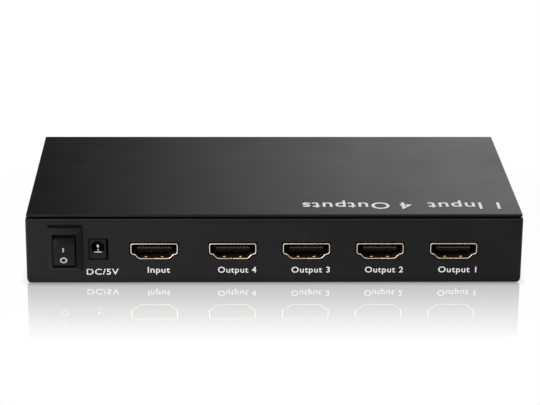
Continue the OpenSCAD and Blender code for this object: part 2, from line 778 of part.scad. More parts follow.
module main_board() color(board_green) place() difference() {
    box(2 * board_x, board_y0, board_y1 - board_y0, board_top - board_t, board_t);
    translate([-board_x - past, board_y0 - past, board_top - board_t - past])
        cube([notch_x + board_x + past, notch_y - board_y0 + past, board_t + 2 * past]);
    for (h = board_holes)
        translate([h.x, h.y, board_top - board_t - past])
            cylinder(r = board_screw_r + board_hole_gap, h = board_t + 2 * past);
    for (i = [0 : len(ports) - 1])
        translate([port_x(i), 0, board_top]) shell_legs(leg_gap, past);
}

// Video sockets
module socket_shell(i) color(gold) place() translate([port_x(i), 0, port_z]) {
    floor_z = -socket_h / 2;
    difference() {
        along_y(-socket_out, socket_len) socket_opening(socket_wall);
        along_y(-socket_out - past, socket_len + 2 * past) socket_opening(0);
        box(socket_seam, -socket_out - past, socket_len + 2 * past,
            floor_z - socket_wall - past, socket_wall + past + join);
    }
    for (s = [-1, 1])
        translate([s * socket_bump_pitch / 2, socket_bump_in, floor_z - join])
            cylinder(r1 = socket_bump_r, r2 = socket_bump_r / 2, h = socket_bump_h + join);
    translate([0, 0, board_top - port_z])
        shell_legs(0, socket_wall + socket_h - socket_side + socket_ledge_drop + join);
}

// Roof of the tongue and front of the block that holds it
tongue_top = socket_h / 2 - tongue_drop;
block_y = socket_len - socket_out - block_len;
tip_y = tongue_in - socket_out;
module socket_tongue(i) color(dark_plastic) place() translate([port_x(i), 0, port_z]) {
    along_y(block_y, block_len) socket_opening(-block_gap);
    along_x(tongue_w) polygon([
        [block_y + join, tongue_top],
        [tip_y + tip_bevel, tongue_top],
        [tip_y, tongue_top - tip_bevel],
        [tip_y, tongue_top - tongue_t + tip_bevel],
        [tip_y + tip_bevel, tongue_top - tongue_t],
        [block_y + join, tongue_top - tongue_t]
    ]);
}

module socket_contacts(i) color(gold) place() translate([port_x(i), 0, port_z]) {
    bar_y = tip_y + contact_in;
    in_row(top_bars, contact_pitch) box(contact_w, bar_y, block_y - bar_y, tongue_top, contact_t);
    in_row(low_bars, contact_pitch)
        box(contact_w, bar_y, block_y - bar_y, tongue_top - tongue_t - contact_t, contact_t);
    in_row(top_bars + low_bars, contact_pitch / 2)
        box(tail_w, block_y + block_len, tail_d, board_top - port_z, tail_h);
}

// DC jack
module dc_jack_body() color(black_plastic) place() translate([jack_x, jack_in, 0]) difference() {
    box(jack_w, 0, jack_len, board_top, jack_h);
    translate([0, 0, jack_z]) {
        rod_y(jack_bore_r, -past, jack_bore_len + past);
        rod_y(jack_shank_r + jack_fit, 0, jack_len + past);
        box(leaf_w + 2 * leaf_gap, -past, jack_bore_len + past,
            -leaf_drop - leaf_t - leaf_gap, leaf_t + 2 * leaf_gap);
        box(leaf_w + 2 * leaf_gap, jack_bore_len - leaf_t - leaf_gap, leaf_t + leaf_gap,
            -jack_axis_h - past, jack_axis_h - leaf_drop + past);
    }
}

module dc_jack_pin() color(bright_metal) place() translate([jack_x, jack_in, jack_z]) {
    rod_y(jack_pin_r, jack_pin_in + jack_pin_r, jack_bore_len - jack_pin_in - jack_pin_r);
    translate([0, jack_pin_in + jack_pin_r, 0]) sphere(jack_pin_r);
    rod_y(jack_shank_r, jack_bore_len - join, jack_len - jack_bore_len + tag_len + join);
    box(2 * jack_shank_r, jack_len, tag_len, -jack_axis_h, jack_axis_h);
}

module dc_jack_contact() color(bright_metal) place() translate([jack_x, jack_in, jack_z]) {
    box(leaf_w, leaf_in, jack_bore_len - leaf_in, -leaf_drop - leaf_t, leaf_t);
    box(leaf_w, jack_bore_len - leaf_t, leaf_t, -jack_axis_h, jack_axis_h - leaf_drop);
}

// Rocker switch
module switch_frame() place() translate([switch_x, 0, switch_z]) children();
module bevel_outline(base, top) polygon([
    [-base / 2, 0], [-base / 2, -bezel_edge], [-top / 2, -bezel_out],
    [top / 2, -bezel_out], [base / 2, -bezel_edge], [base / 2, 0]
]);

module switch_housing() color(black_plastic) switch_frame() difference() {
    union() {
        intersection() {
            linear_extrude(bezel_h, center = true) bevel_outline(bezel_w, window_w + 2 * bezel_land);
            rotate([0, 90, 0]) linear_extrude(bezel_w, center = true)
                bevel_outline(bezel_h, window_h + 2 * bezel_land);
        }
        box(housing_w, -join, housing_len + join, -housing_h / 2, housing_h);
        for (s = [0, 1])
            mirror([0, 0, s]) along_x(wing_w) polygon([
                [sheet + switch_cut_gap, housing_h / 2 - join],
                [sheet + switch_cut_gap, housing_h / 2 + wing_h],
                [sheet + switch_cut_gap + wing_len, housing_h / 2 - join]
            ]);
    }
    box(window_w, -bezel_out - past, bezel_out + past + housing_len - housing_floor,
        -window_h / 2, window_h);
    rod_x(pivot_r + pivot_gap, window_w + 2 * pivot_bore);
    for (z = [0, -blade_pitch])
        translate([0, 0, z]) box(blade_w, housing_len - housing_floor - past, housing_floor + 2 * past,
            -blade_t / 2, blade_t);
}

// Pieces that tip with the rocker, drawn with the rocker in its middle position
module rocker_frame() switch_frame() rotate([rocker_tilt, 0, 0]) children();

module rocker_outline() {
    tip = rocker_tip_r * [-cos(rocker_tip_angle), sin(rocker_tip_angle)];
    end_angle = rocker_tip_angle + rocker_end_angle;
    round_end = rocker_r * [-cos(end_angle), sin(end_angle)];
    valley = [tip.x + rocker_valley, 0];
    beyond = valley + 2 * (tip - valley);
    intersection() {
        union() {
            circle(rocker_r, $fn = 96);
            polygon([round_end, tip, [tip.x, -tip.y], [round_end.x, -round_end.y], [0, 0]]);
        }
        polygon([
            valley, beyond, [rocker_back, beyond.y],
            [rocker_back, -beyond.y], [beyond.x, -beyond.y]
        ]);
    }
}

module switch_rocker() color(black_plastic) rocker_frame() difference() {
    union() {
        along_x(rocker_w) rocker_outline();
        rod_x(pivot_r, window_w + 2 * (pivot_bore - pivot_end_gap));
        rod_y(stem_bore_r + stem_wall, 0, stem_reach);
    }
    rod_y(stem_bore_r, -stem_bore_front, stem_bore_front + stem_reach + past);
}

module switch_plunger() color(copper) rocker_frame() {
    rod_y(plunger_r, plunger_reach - plunger_len, plunger_len - plunger_r);
    translate([0, plunger_reach - plunger_r, 0]) sphere(plunger_r);
}

// Helix between the bottom of the stem's bore and the plunger
module switch_spring() color(bright_metal) rocker_frame() {
    rings = spring_turns * spring_steps;
    from = -stem_bore_front + spring_gap + spring_wire_r;
    to = plunger_reach - plunger_len - spring_gap - spring_wire_r;
    coil_r = stem_bore_r - spring_gap - spring_wire_r;
    path = [for (i = [0 : rings])
        let (turn = 360 * i / spring_steps)
        [coil_r * cos(turn), from + (to - from) * i / rings, coil_r * sin(turn)]];
    tube(path, spring_wire_r, spring_sides, [0, 1, 0], path_dir(path, 0), path_dir(path, rings));
}

// The lever tips on a bead across the middle of its back
module switch_lever() color(copper)
    switch_frame() translate([0, lever_back, 0]) rotate([-lever_tilt, 0, 0]) {
        along_x(blade_w) for (s = [-1, 1])
            polygon([
                [-lever_t, 0], [-lever_t - lever_arm * sin(lever_tilt), s * lever_arm * cos(lever_tilt)],
                [-lever_arm * sin(lever_tilt), s * lever_arm * cos(lever_tilt)], [0, 0]
            ]);
        rod_x(bead_r, blade_w);
        rotate([-lever_tilt, 0, 0]) translate([0, 0, -blade_pitch])
            rod_y(button_r, -lever_t / 2, lever_t / 2 + button_h);
    }

module switch_terminal_common() color(copper) switch_frame() {
    edge_y = lever_back + bead_r + contact_gap;
    along_x(blade_w) polygon([
        [edge_y, fulcrum_w / 2], [edge_y + blade_t, blade_t / 2], [blade_end, blade_t / 2],
        [blade_end, -blade_t / 2], [edge_y + blade_t, -blade_t / 2], [edge_y, -fulcrum_w / 2]
    ]);
}

module switch_terminal_load() color(copper) switch_frame() translate([0, 0, -blade_pitch]) {
    rod_y(button_r, load_y, button_h + join);
    box(blade_w, load_y + button_h, blade_end - load_y - button_h, -blade_t / 2, blade_t);
}

// A wire from a blade's end to its pad on the board
module wire(from_z, pad_y, rise) place() {
    from = [switch_x, blade_end, from_z];
    to = [pad_x, pad_y, board_top];
    path = [for (i = [0 : wire_rings])
        bezier(from, from + [0, wire_room, 0], to + [0, 0, rise], to, i / wire_rings)];
    tube(path, wire_r, wire_sides, [0, 1, 1], [0, 1, 0], [0, 0, -1]);
}
module wire_supply() color("red") wire(switch_z, blade_end + wire_room, supply_rise);
module wire_switched() color("black")
    wire(switch_z - blade_pitch, blade_end + wire_room / 2, switched_rise);

// Parts on the board
module chip(w, d, h, leads) {
    box(w, -d / 2, d, chip_lift, h - chip_lift);
    for (s = [0, 1])
        mirror([0, s, 0]) in_row(leads, (w - 2 * chip_lead_w) / leads)
            box(chip_lead_w, d / 2 - join, chip_lead_out + join, 0, chip_lead_h);
}

module on_board(x, y) place() translate([x, y, board_top]) children();

module splitter_chip() color(dark_plastic) on_board(chip_x, chip_y) 
    chip(chip_w, chip_w, chip_h, chip_leads);
module thermal_pad() color(pad_grey) on_board(chip_x, chip_y)
    box(chip_w, -chip_w / 2, chip_w, chip_h, pad_t);
module heat_sink() color(bright_metal) on_board(chip_x, chip_y) {
    foot_z = chip_h + pad_t;
    step = (sink_w - fin_t) / (sink_fins - 1);
    box(sink_w, -sink_w / 2, sink_w, foot_z, sink_base);
    for (k = [0 : sink_fins - 1])
        translate([k * step + fin_t / 2 - sink_w / 2, 0, 0])
            box(fin_t, -sink_w / 2, sink_w, foot_z + sink_base - join, sink_h - sink_base + join);
}

module line_driver(i) color(dark_plastic) on_board(port_x(i), driver_y)
    chip(driver_w, driver_w, driver_h, driver_leads);

module voltage_regulator() color(dark_plastic) on_board(supply_x, supply_y - coil_w - supply_gap)
    chip(reg_w, reg_d, reg_h, reg_leads);

module inductor() color(ferrite_grey) on_board(supply_x, supply_y) difference() {
    groove_r = coil_w / 2 - coil_groove_edge;
    intersection() {
        box(coil_w, -coil_w / 2, coil_w, 0, coil_h);
        cylinder(r = coil_w / 2 + coil_corner, h = coil_h);
    }
    translate([0, 0, coil_h - coil_groove_d]) difference() {
        cylinder(r = groove_r, h = coil_h);
        translate([0, 0, -past]) cylinder(r = groove_r - coil_groove_w, h = coil_h + 2 * past);
    }
}

module crystal() color(bright_metal) on_board(chip_x + sink_w, chip_y) {
    linear_extrude(crystal_h) stadium(crystal_len, crystal_w);
    linear_extrude(crystal_rim) stadium(crystal_len + 2 * crystal_rim, crystal_w + 2 * crystal_rim);
}
module stadium(len, w) {
    square([len - w, w], center = true);
    for (s = [-1, 1])
        translate([s * (len - w) / 2, 0]) circle(w / 2);
}

module capacitor(i) color(sleeve_blue)
    on_board(supply_x + coil_w + supply_gap, supply_y + (i - (len(cans) - 1) / 2) * can_pitch)
        rotate_extrude() polygon([
            [0, 0], [can_r, 0], [can_r, can_groove_z],
            [can_r - can_groove_d, can_groove_z + can_groove_w / 2], [can_r, can_groove_z + can_groove_w],
            [can_r, can_h - can_bevel], [can_r - can_bevel, can_h], [0, can_h]
        ]);

// Indicator lights, in a row in the front panel
function led_x(i) = ((len(leds) - 1) / 2 - i) * led_pitch;
module led(i) color(i == 0 ? lens_red : lens_green) place()
    translate([led_x(i), case_d, led_z]) {
        rim_y = -sheet - led_gap;
        rotate([-90, 0, 0]) rotate_extrude() intersection() {
            union() {
                translate([0, rim_y - led_len]) square([led_r, led_len - rim_y + led_out - led_r]);
                translate([0, led_out - led_r]) circle(led_r);
                translate([0, rim_y - led_len]) square([led_r + led_rim, led_len]);
            }
            translate([0, rim_y - led_len]) square([led_r + led_rim, led_len - rim_y + led_out]);
        }
        for (s = [-1, 1])
            translate([s * lead_pitch / 2, 0, 0]) {
                box(lead_t, rim_y - led_len - lead_len, lead_len + join, -lead_t / 2, lead_t);
                box(lead_t, rim_y - led_len - lead_len, lead_t, -led_h, led_h);
            }
    }

base_tray();
top_cover();
cover_screws();
for (i = [0 : len(corners) - 1])
    foot(i);
board_standoffs();
board_screws();
main_board();
for (i = [0 : len(ports) - 1]) {
    socket_shell(i);
    socket_tongue(i);
    socket_contacts(i);
}
dc_jack_body();
dc_jack_pin();
dc_jack_contact();
switch_housing();
switch_rocker();
switch_plunger();
switch_spring();
switch_lever();
switch_terminal_common();
switch_terminal_load();
wire_supply();
wire_switched();
splitter_chip();
thermal_pad();
heat_sink();
voltage_regulator();
inductor();
crystal();
for (i = [0 : len(cans) - 1])
    capacitor(i);
for (i = [0 : len(drivers) - 1])
    line_driver(i);
for (i = [0 : len(leds) - 1])
    led(i);
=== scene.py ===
import json
import math
import bpy
from mathutils import Matrix, Vector


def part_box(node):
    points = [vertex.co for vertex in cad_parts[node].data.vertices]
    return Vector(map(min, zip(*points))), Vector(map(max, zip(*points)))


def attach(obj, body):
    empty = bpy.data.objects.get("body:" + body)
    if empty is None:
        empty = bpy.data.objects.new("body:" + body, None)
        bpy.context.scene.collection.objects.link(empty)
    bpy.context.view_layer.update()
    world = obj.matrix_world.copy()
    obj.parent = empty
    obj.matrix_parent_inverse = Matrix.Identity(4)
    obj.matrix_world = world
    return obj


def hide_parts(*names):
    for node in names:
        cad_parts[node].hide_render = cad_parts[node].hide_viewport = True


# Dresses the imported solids: finishes, finer pieces, print, stage and camera
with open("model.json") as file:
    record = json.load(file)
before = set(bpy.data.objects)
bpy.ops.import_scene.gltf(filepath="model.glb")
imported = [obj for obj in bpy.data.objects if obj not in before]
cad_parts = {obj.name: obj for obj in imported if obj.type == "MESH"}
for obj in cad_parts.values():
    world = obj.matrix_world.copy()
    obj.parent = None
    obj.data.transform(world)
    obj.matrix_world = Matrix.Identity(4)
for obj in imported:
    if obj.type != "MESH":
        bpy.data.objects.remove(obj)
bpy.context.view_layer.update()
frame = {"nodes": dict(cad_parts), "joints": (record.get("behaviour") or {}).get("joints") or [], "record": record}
nodes = frame["nodes"]
mounts = {m["name"]: Vector(m["pos_m"]) for m in frame["record"]["mounts"]}
slots = {s["node"]: s["material_slot"] for s in frame["record"]["subparts"]}
pivot = Vector(next(j["pos_m"] for j in frame["joints"] if j["name"] == "rocker_tip"))
PORTS = ["input", "output_4", "output_3", "output_2", "output_1"]
LIGHTS = ["power", "out_1", "out_2", "out_3", "out_4"]
FEET = ["foot_1", "foot_2", "foot_3", "foot_4"]

# Sizes of the pieces in millimetres, angles in degrees
MM = 0.001
SMOOTH_ANGLE = 35.0
DOME_SMOOTH_ANGLE = 50.0
EDGE_ROUND = 0.08
# Cutters reach well past what they cut
PAST = 1.0
# Places closer than CLOSE count as one, and points closer than MERGED become one
CLOSE = 0.01
MERGED = 0.0001
# Least part of a normal along an axis for a face that looks that way
FACING = 0.9

# Video sockets: opening, shell, contact bumps, tongue and legs
SOCKET_W = 14.0
SOCKET_H = 4.55
SOCKET_SIDE = 2.95
SOCKET_FLOOR = 9.2
LEDGE_W = 1.15
LEDGE_DROP = 0.3
SOCKET_ROUND = 0.4
SHELL_WALL = 0.3
SHELL_LEN = 11.6
SHELL_SEAM = 0.12
RIM_ROUND = 0.14
# Depth behind the opening where the rim's painted highlight has given way to the painted shade inside
RIM_DEPTH = 0.35
INSIDE_DULL = 0.34
BUMP_PITCH = 5.0
BUMP_R = 0.55
BUMP_H = 0.35
BUMP_IN = 1.55
TONGUE_DROP = 1.4
# Height of the painted highlight along the tongue's upper edge
TONGUE_HIGHLIGHT_BAND = 0.36
LEG_W = 1.0
LEG_LEN = 2.2
LEG_PLACES = (4.35, 9.55)

# Contact dome on the leaf of the power jack
LEAF_DOME_R = 0.36
LEAF_DOME_H = 0.5
LEAF_DOME_IN = 1.6

# Frame of the rocker switch: window, housing behind the panel, bezel and snap wings
WINDOW_W = 7.1
WINDOW_H = 10.5
WINDOW_DEPTH = 9.0
HOUSING_W = 8.6
HOUSING_H = 13.3
HOUSING_LEN = 10.5
BEZEL_W = 10.8
BEZEL_H = 14.2
BEZEL_OUT = 3.0
BEZEL_EDGE = 1.5
BEZEL_LAND = 0.3
BEZEL_ROUND = 0.16
WING_W = 3.5
WING_H = 0.8
WING_Y = 1.1
WING_LEN = 2.3

# Rocker, its pins and stem, and its two signs
ROCKER_R = 5.05
ROCKER_W = 6.6
ROCKER_TILT = 10.0
TIP_R = 5.8
TIP_ANGLE = 39.0
END_ANGLE = 26.0
END_STEPS = 12
ROCKER_VALLEY = 0.35
ROCKER_BACK = 1.3
ROCKER_ROUND = 0.2
PIN_R = 1.0
PIN_SPAN = 7.9
STEM_R = 1.7
STEM_BORE_R = 1.0
STEM_REACH = 4.0
STEM_FLOOR = 0.1
PIN_ROUND = 0.1
SIGN_STROKE = 0.45
SIGN_BAR_H = 1.6
SIGN_RING_W = 2.25
SIGN_RING_H = 1.95
SIGN_X = -0.2
SIGN_ROUND = 0.02
INK = 0.03

# Cover screws
SCREW_R = 1.25
SCREW_LEN = 4.5
HEAD_R = 2.2
HEAD_H = 0.8
HEAD_SINK = 0.05
HEAD_ROUND = 0.05
SHANK_ROUND = 0.2
CROSS_LEN = 2.7
CROSS_W = 0.7
CROSS_DEPTH = 0.4

# Rubber feet
FOOT_ROUND = 0.15
FOOT_DISH_EDGE = 1.1
FOOT_DISH = 0.25
FOOT_TAPER = 0.93

# White print: capital heights, places and widths
LABEL_CAP = 1.9
LABEL_SHIFT = 1.4
LABEL_Z = 4.7
INPUT_SPAN = 6.9
OUTPUT_SPAN = 11.9
SUPPLY_Z = 4.1
SUPPLY_SPAN = 9.9
LETTER_GAP = 1.1
LETTER_WEIGHT = 0.01
LETTER_STEPS = 4
LETTER_DEPTH = 0.01
COVER_CAP = 5.6
COVER_SPAN = 61.7
COVER_LABEL_X = 39.65
COVER_LABEL_IN = 8.26
LIGHT_LABEL_Z = 6.2


# Shader groups: what several finishes share

def group(name, inputs, outputs):
    """An empty shader group with named sockets, and its two end nodes."""
    made = bpy.data.node_groups.new(name, "ShaderNodeTree")
    for socket, kind, value in inputs:
        new = made.interface.new_socket(socket, in_out="INPUT", socket_type="NodeSocket" + kind)
        if value is not None:
            new.default_value = value
    for socket, kind in outputs:
        made.interface.new_socket(socket, in_out="OUTPUT", socket_type="NodeSocket" + kind)
    return made, made.nodes.new("NodeGroupInput"), made.nodes.new("NodeGroupOutput")


def put(tree, socket, value):
    """Gives a socket a number, or links it to another socket."""
    if isinstance(value, (int, float)):
        socket.default_value = value
    else:
        tree.links.new(value, socket)


def axes(tree, vector):
    """The X, Y and Z of a vector."""
    made = tree.nodes.new("ShaderNodeSeparateXYZ")
    tree.links.new(vector, made.inputs[0])
    return made.outputs


def noise(tree, vector, scale, detail=2.0, rough=0.5):
    """A noise texture; scale is a number or a socket."""
    made = tree.nodes.new("ShaderNodeTexNoise")
    made.inputs["Detail"].default_value = detail
    made.inputs["Roughness"].default_value = rough
    tree.links.new(vector, made.inputs["Vector"])
    put(tree, made.inputs["Scale"], scale)
    return made.outputs["Fac"]


def spread(tree, value, low, high, to_low=0.0, to_high=1.0):
    """Maps value from low..high to to_low..to_high, each end a number or a socket."""
    made = tree.nodes.new("ShaderNodeMapRange")
    tree.links.new(value, made.inputs["Value"])
    for socket, end in zip(("From Min", "From Max", "To Min", "To Max"), (low, high, to_low, to_high)):
        put(tree, made.inputs[socket], end)
    return made.outputs["Result"]


def calculated(tree, operation, *values):
    """The result of a Math node; each value is a number or a socket."""
    made = tree.nodes.new("ShaderNodeMath")
    made.operation = operation
    for socket, value in zip(made.inputs, values):
        put(tree, socket, value)
    return made.outputs[0]


def mixed(tree, factor, first, second):
    """A shader between two."""
    made = tree.nodes.new("ShaderNodeMixShader")
    for socket, value in zip(made.inputs, (factor, first, second)):
        tree.links.new(value, socket)
    return made.outputs[0]


# Scales of noise are in waves to a metre, and most of its values lie between these two
NOISE_LOW = 0.3
NOISE_HIGH = 0.7
# Only the peaks of a finer noise show as dust
SPECK_SCALE = 900.0
SPECK_LOW = 0.7
SPECK_HIGH = 0.85
LINE_SCALE = 4000.0
TARNISH_SCALE = 350.0
METAL_CLOUD = 180.0
# Colours of the gold shells, with a painted highlight on the rim and painted shade inside, of the board, and of
# the tongues in the sockets, with a painted highlight along their upper edge
PLATE_SHADED = (0.56, 0.38, 0.2)
PLATE_SHADED_TARNISHED = (0.48, 0.31, 0.15)
PLATE_RIM_HIGHLIGHT = (0.9, 0.78, 0.65)
LACQUER = (0.012, 0.11, 0.04)
LACQUER_ON_TRACK = (0.03, 0.2, 0.07)
TONGUE_DARK = (0.003, 0.0031, 0.004)
TONGUE_LIGHT = (0.005, 0.0052, 0.0064)
TONGUE_PAINTED_HIGHLIGHT = (0.13, 0.124, 0.118)


def surface_grain():
    """Fine moulded or sprayed grain with slow clouds in it."""
    made, start, end = group(
        "surface_grain",
        [("Vector", "Vector", None), ("Grain", "Float", 3000.0), ("Cloud", "Float", 60.0)],
        [("Height", "Float"), ("Shade", "Float")],
    )
    fine = noise(made, start.outputs["Vector"], start.outputs["Grain"], detail=3.0)
    slow = noise(made, start.outputs["Vector"], start.outputs["Cloud"], detail=4.0, rough=0.6)
    made.links.new(fine, end.inputs["Height"])
    made.links.new(spread(made, slow, NOISE_LOW, NOISE_HIGH), end.inputs["Shade"])
    return made


def handling():
    """Roughness that wanders between polished and dull, with small specks of dust."""
    made, start, end = group(
        "handling",
        [("Vector", "Vector", None), ("Cloud", "Float", 45.0),
         ("Polished", "Float", 0.3), ("Dull", "Float", 0.5)],
        [("Roughness", "Float"), ("Dust", "Float")],
    )
    slow = noise(made, start.outputs["Vector"], start.outputs["Cloud"], detail=5.0, rough=0.65)
    specks = noise(made, start.outputs["Vector"], SPECK_SCALE, detail=1.0)
    polished, dull = start.outputs["Polished"], start.outputs["Dull"]
    made.links.new(spread(made, slow, NOISE_LOW, NOISE_HIGH, polished, dull), end.inputs["Roughness"])
    made.links.new(spread(made, specks, SPECK_LOW, SPECK_HIGH), end.inputs["Dust"])
    return made


def drawn_lines():
    """Fine lines along one way, as drawn or plated metal has."""
    made, start, end = group(
        "drawn_lines",
        [("Vector", "Vector", None), ("Stretch", "Vector", (1.0, 1.0, 1.0))],
        [("Height", "Float"), ("Shade", "Float")],
    )
    squeeze = made.nodes.new("ShaderNodeVectorMath")
    squeeze.operation = "MULTIPLY"
    made.links.new(start.outputs["Vector"], squeeze.inputs[0])
    made.links.new(start.outputs["Stretch"], squeeze.inputs[1])
    lines = noise(made, squeeze.outputs["Vector"], LINE_SCALE, detail=3.0, rough=0.6)
    tarnish = noise(made, start.outputs["Vector"], TARNISH_SCALE, detail=3.0)
    made.links.new(lines, end.inputs["Height"])
    made.links.new(spread(made, tarnish, NOISE_LOW, NOISE_HIGH), end.inputs["Shade"])
    return made


GRAIN = surface_grain()
HANDLING = handling()
LINES = drawn_lines()


# Finishes

class Finish:
    """A material with one Principled shader and the nodes that feed it."""

    def __init__(self, name, **constants):
        self.material = bpy.data.materials.new(name)
        self.material.use_nodes = True
        self.tree = self.material.node_tree
        self.shader = self.tree.nodes["Principled BSDF"]
        self.coords = self.tree.nodes.new("ShaderNodeTexCoord").outputs["Object"]
        for socket, value in constants.items():
            self.shader.inputs[socket.replace("_", " ")].default_value = value

    def place(self, shared, **values):
        """Places a shared group with its own values."""
        made = self.tree.nodes.new("ShaderNodeGroup")
        made.node_tree = shared
        self.tree.links.new(self.coords, made.inputs["Vector"])
        for socket, value in values.items():
            made.inputs[socket].default_value = value
        return made.outputs

    def blend(self, mask, first, second):
        """A colour between two, each a colour or a socket."""
        made = self.tree.nodes.new("ShaderNodeMix")
        made.data_type = "RGBA"
        self.tree.links.new(mask, made.inputs["Factor"])
        for socket, colour in (("A", first), ("B", second)):
            target = next(s for s in made.inputs if s.name == socket and s.type == "RGBA")
            if isinstance(colour, tuple):
                target.default_value = (*colour, 1.0)
            else:
                self.tree.links.new(colour, target)
        return next(s for s in made.outputs if s.type == "RGBA")

    def feed(self, socket, value):
        self.tree.links.new(value, self.shader.inputs[socket])

    def bump(self, height, strength, depth):
        """Relief of that depth in millimetres."""
        made = self.tree.nodes.new("ShaderNodeBump")
        made.inputs["Strength"].default_value = strength
        made.inputs["Distance"].default_value = depth * MM
        self.tree.links.new(height, made.inputs["Height"])
        self.feed("Normal", made.outputs["Normal"])


def grey(level):
    return level, level, level


def grained(name, dark, light, polished, dull, grain, depth, dust, **constants):
    """Paint, moulded plastic or rubber: grain, slow clouds and a little dust."""
    made = Finish(name, **constants)
    skin = made.place(GRAIN, Grain=grain)
    hands = made.place(HANDLING, Polished=polished, Dull=dull)
    colour = made.blend(skin["Shade"], dark, light)
    made.feed("Base Color", made.blend(hands["Dust"], colour, dust))
    made.feed("Roughness", hands["Roughness"])
    made.bump(skin["Height"], strength=0.35, depth=depth)
    return made.material


def metal(name, bright, tarnished, polished, dull, stretch):
    """Bare or plated metal with drawn lines and a little tarnish."""
    made = Finish(name, Metallic=1.0)
    drawn = made.place(LINES, Stretch=stretch)
    hands = made.place(HANDLING, Polished=polished, Dull=dull, Cloud=METAL_CLOUD)
    made.feed("Base Color", made.blend(drawn["Shade"], bright, tarnished))
    made.feed("Roughness", hands["Roughness"])
    made.bump(drawn["Height"], strength=0.25, depth=0.01)
    return made.material


def plated_shell():
    """Gold plate that is polished and pale with a painted highlight at the rim, and dull and darker with painted
    shade inside.
    """
    made = Finish("socket_gold", Metallic=1.0)
    drawn = made.place(LINES, Stretch=(1.0, 0.1, 1.0))
    hands = made.place(HANDLING, Polished=0.2, Dull=0.32, Cloud=METAL_CLOUD)
    place = axes(made.tree, made.coords)
    rim = mounts["video_" + PORTS[0]].y
    # From the rim's painted highlight at the opening to the painted shade inside, which is also where the plate
    # turns dull
    inside = spread(made.tree, place["Y"], rim + RIM_ROUND * MM, rim + RIM_DEPTH * MM)
    plate = made.blend(drawn["Shade"], PLATE_SHADED, PLATE_SHADED_TARNISHED)
    made.feed("Base Color", made.blend(inside, PLATE_RIM_HIGHLIGHT, plate))
    made.feed("Roughness", spread(made.tree, inside, 0.0, 1.0, hands["Roughness"], INSIDE_DULL))
    made.bump(drawn["Height"], strength=0.1, depth=0.01)
    return made.material


def solder_mask():
    """Green lacquer over copper tracks that run along and across the board."""
    made = Finish("board", Specular_IOR_Level=0.5)
    tracks = made.tree.nodes.new("ShaderNodeTexBrick")
    made.tree.links.new(made.coords, tracks.inputs["Vector"])
    tracks.inputs["Scale"].default_value = 160.0
    tracks.inputs["Mortar Size"].default_value = 0.035
    tracks.inputs["Brick Width"].default_value = 1.3
    tracks.inputs["Row Height"].default_value = 0.4
    hands = made.place(HANDLING, Polished=0.25, Dull=0.4)
    made.feed("Base Color", made.blend(tracks.outputs["Fac"], LACQUER, LACQUER_ON_TRACK))
    made.feed("Roughness", hands["Roughness"])
    made.bump(tracks.outputs["Fac"], strength=0.5, depth=0.03)
    return made.material


def highlighted_tongue():
    """Dark plastic with a painted highlight, a pale band along its upper front edge."""
    made = Finish("tongue_plastic", Specular_IOR_Level=0.04)
    skin = made.place(GRAIN, Grain=2500.0, Cloud=500.0)
    hands = made.place(HANDLING, Polished=0.35, Dull=0.5)
    place = axes(made.tree, made.coords)
    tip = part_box("socket_tongue_" + PORTS[0])[0].y
    top = mounts["video_" + PORTS[0]].z + (SOCKET_H / 2 - TONGUE_DROP) * MM
    # Painted highlight: a pale band at the top of the tongue, fading back from its tip
    high = spread(made.tree, place["Z"], top - TONGUE_HIGHLIGHT_BAND * MM, top - TONGUE_HIGHLIGHT_BAND / 2 * MM)
    painted_highlight = spread(made.tree, place["Y"], tip, tip + TONGUE_HIGHLIGHT_BAND * MM, high, 0.0)
    plain = made.blend(skin["Shade"], TONGUE_DARK, TONGUE_LIGHT)
    made.feed("Base Color", made.blend(painted_highlight, plain, TONGUE_PAINTED_HIGHLIGHT))
    made.feed("Roughness", hands["Roughness"])
    made.bump(skin["Height"], strength=0.3, depth=0.01)
    return made.material


def lens(name, deep, pale):
    """Tinted clear resin of an indicator light."""
    made = Finish(name, Transmission_Weight=0.45, IOR=1.5, Coat_Weight=0.3)
    skin = made.place(GRAIN, Grain=900.0, Cloud=400.0)
    hands = made.place(HANDLING, Polished=0.12, Dull=0.25)
    made.feed("Base Color", made.blend(skin["Shade"], deep, pale))
    made.feed("Roughness", hands["Roughness"])
    made.bump(skin["Height"], strength=0.1, depth=0.01)
    return made.material


def printed_ink(name, thin, full):
    """White screen print, a little thin in places."""
    made = Finish(name, Specular_IOR_Level=0.35)
    skin = made.place(GRAIN, Grain=5000.0, Cloud=1400.0)
    hands = made.place(HANDLING, Polished=0.5, Dull=0.65)
    made.feed("Base Color", made.blend(skin["Shade"], grey(thin), grey(full)))
    made.feed("Roughness", hands["Roughness"])
    made.bump(skin["Height"], strength=0.2, depth=0.01)
    return made.material


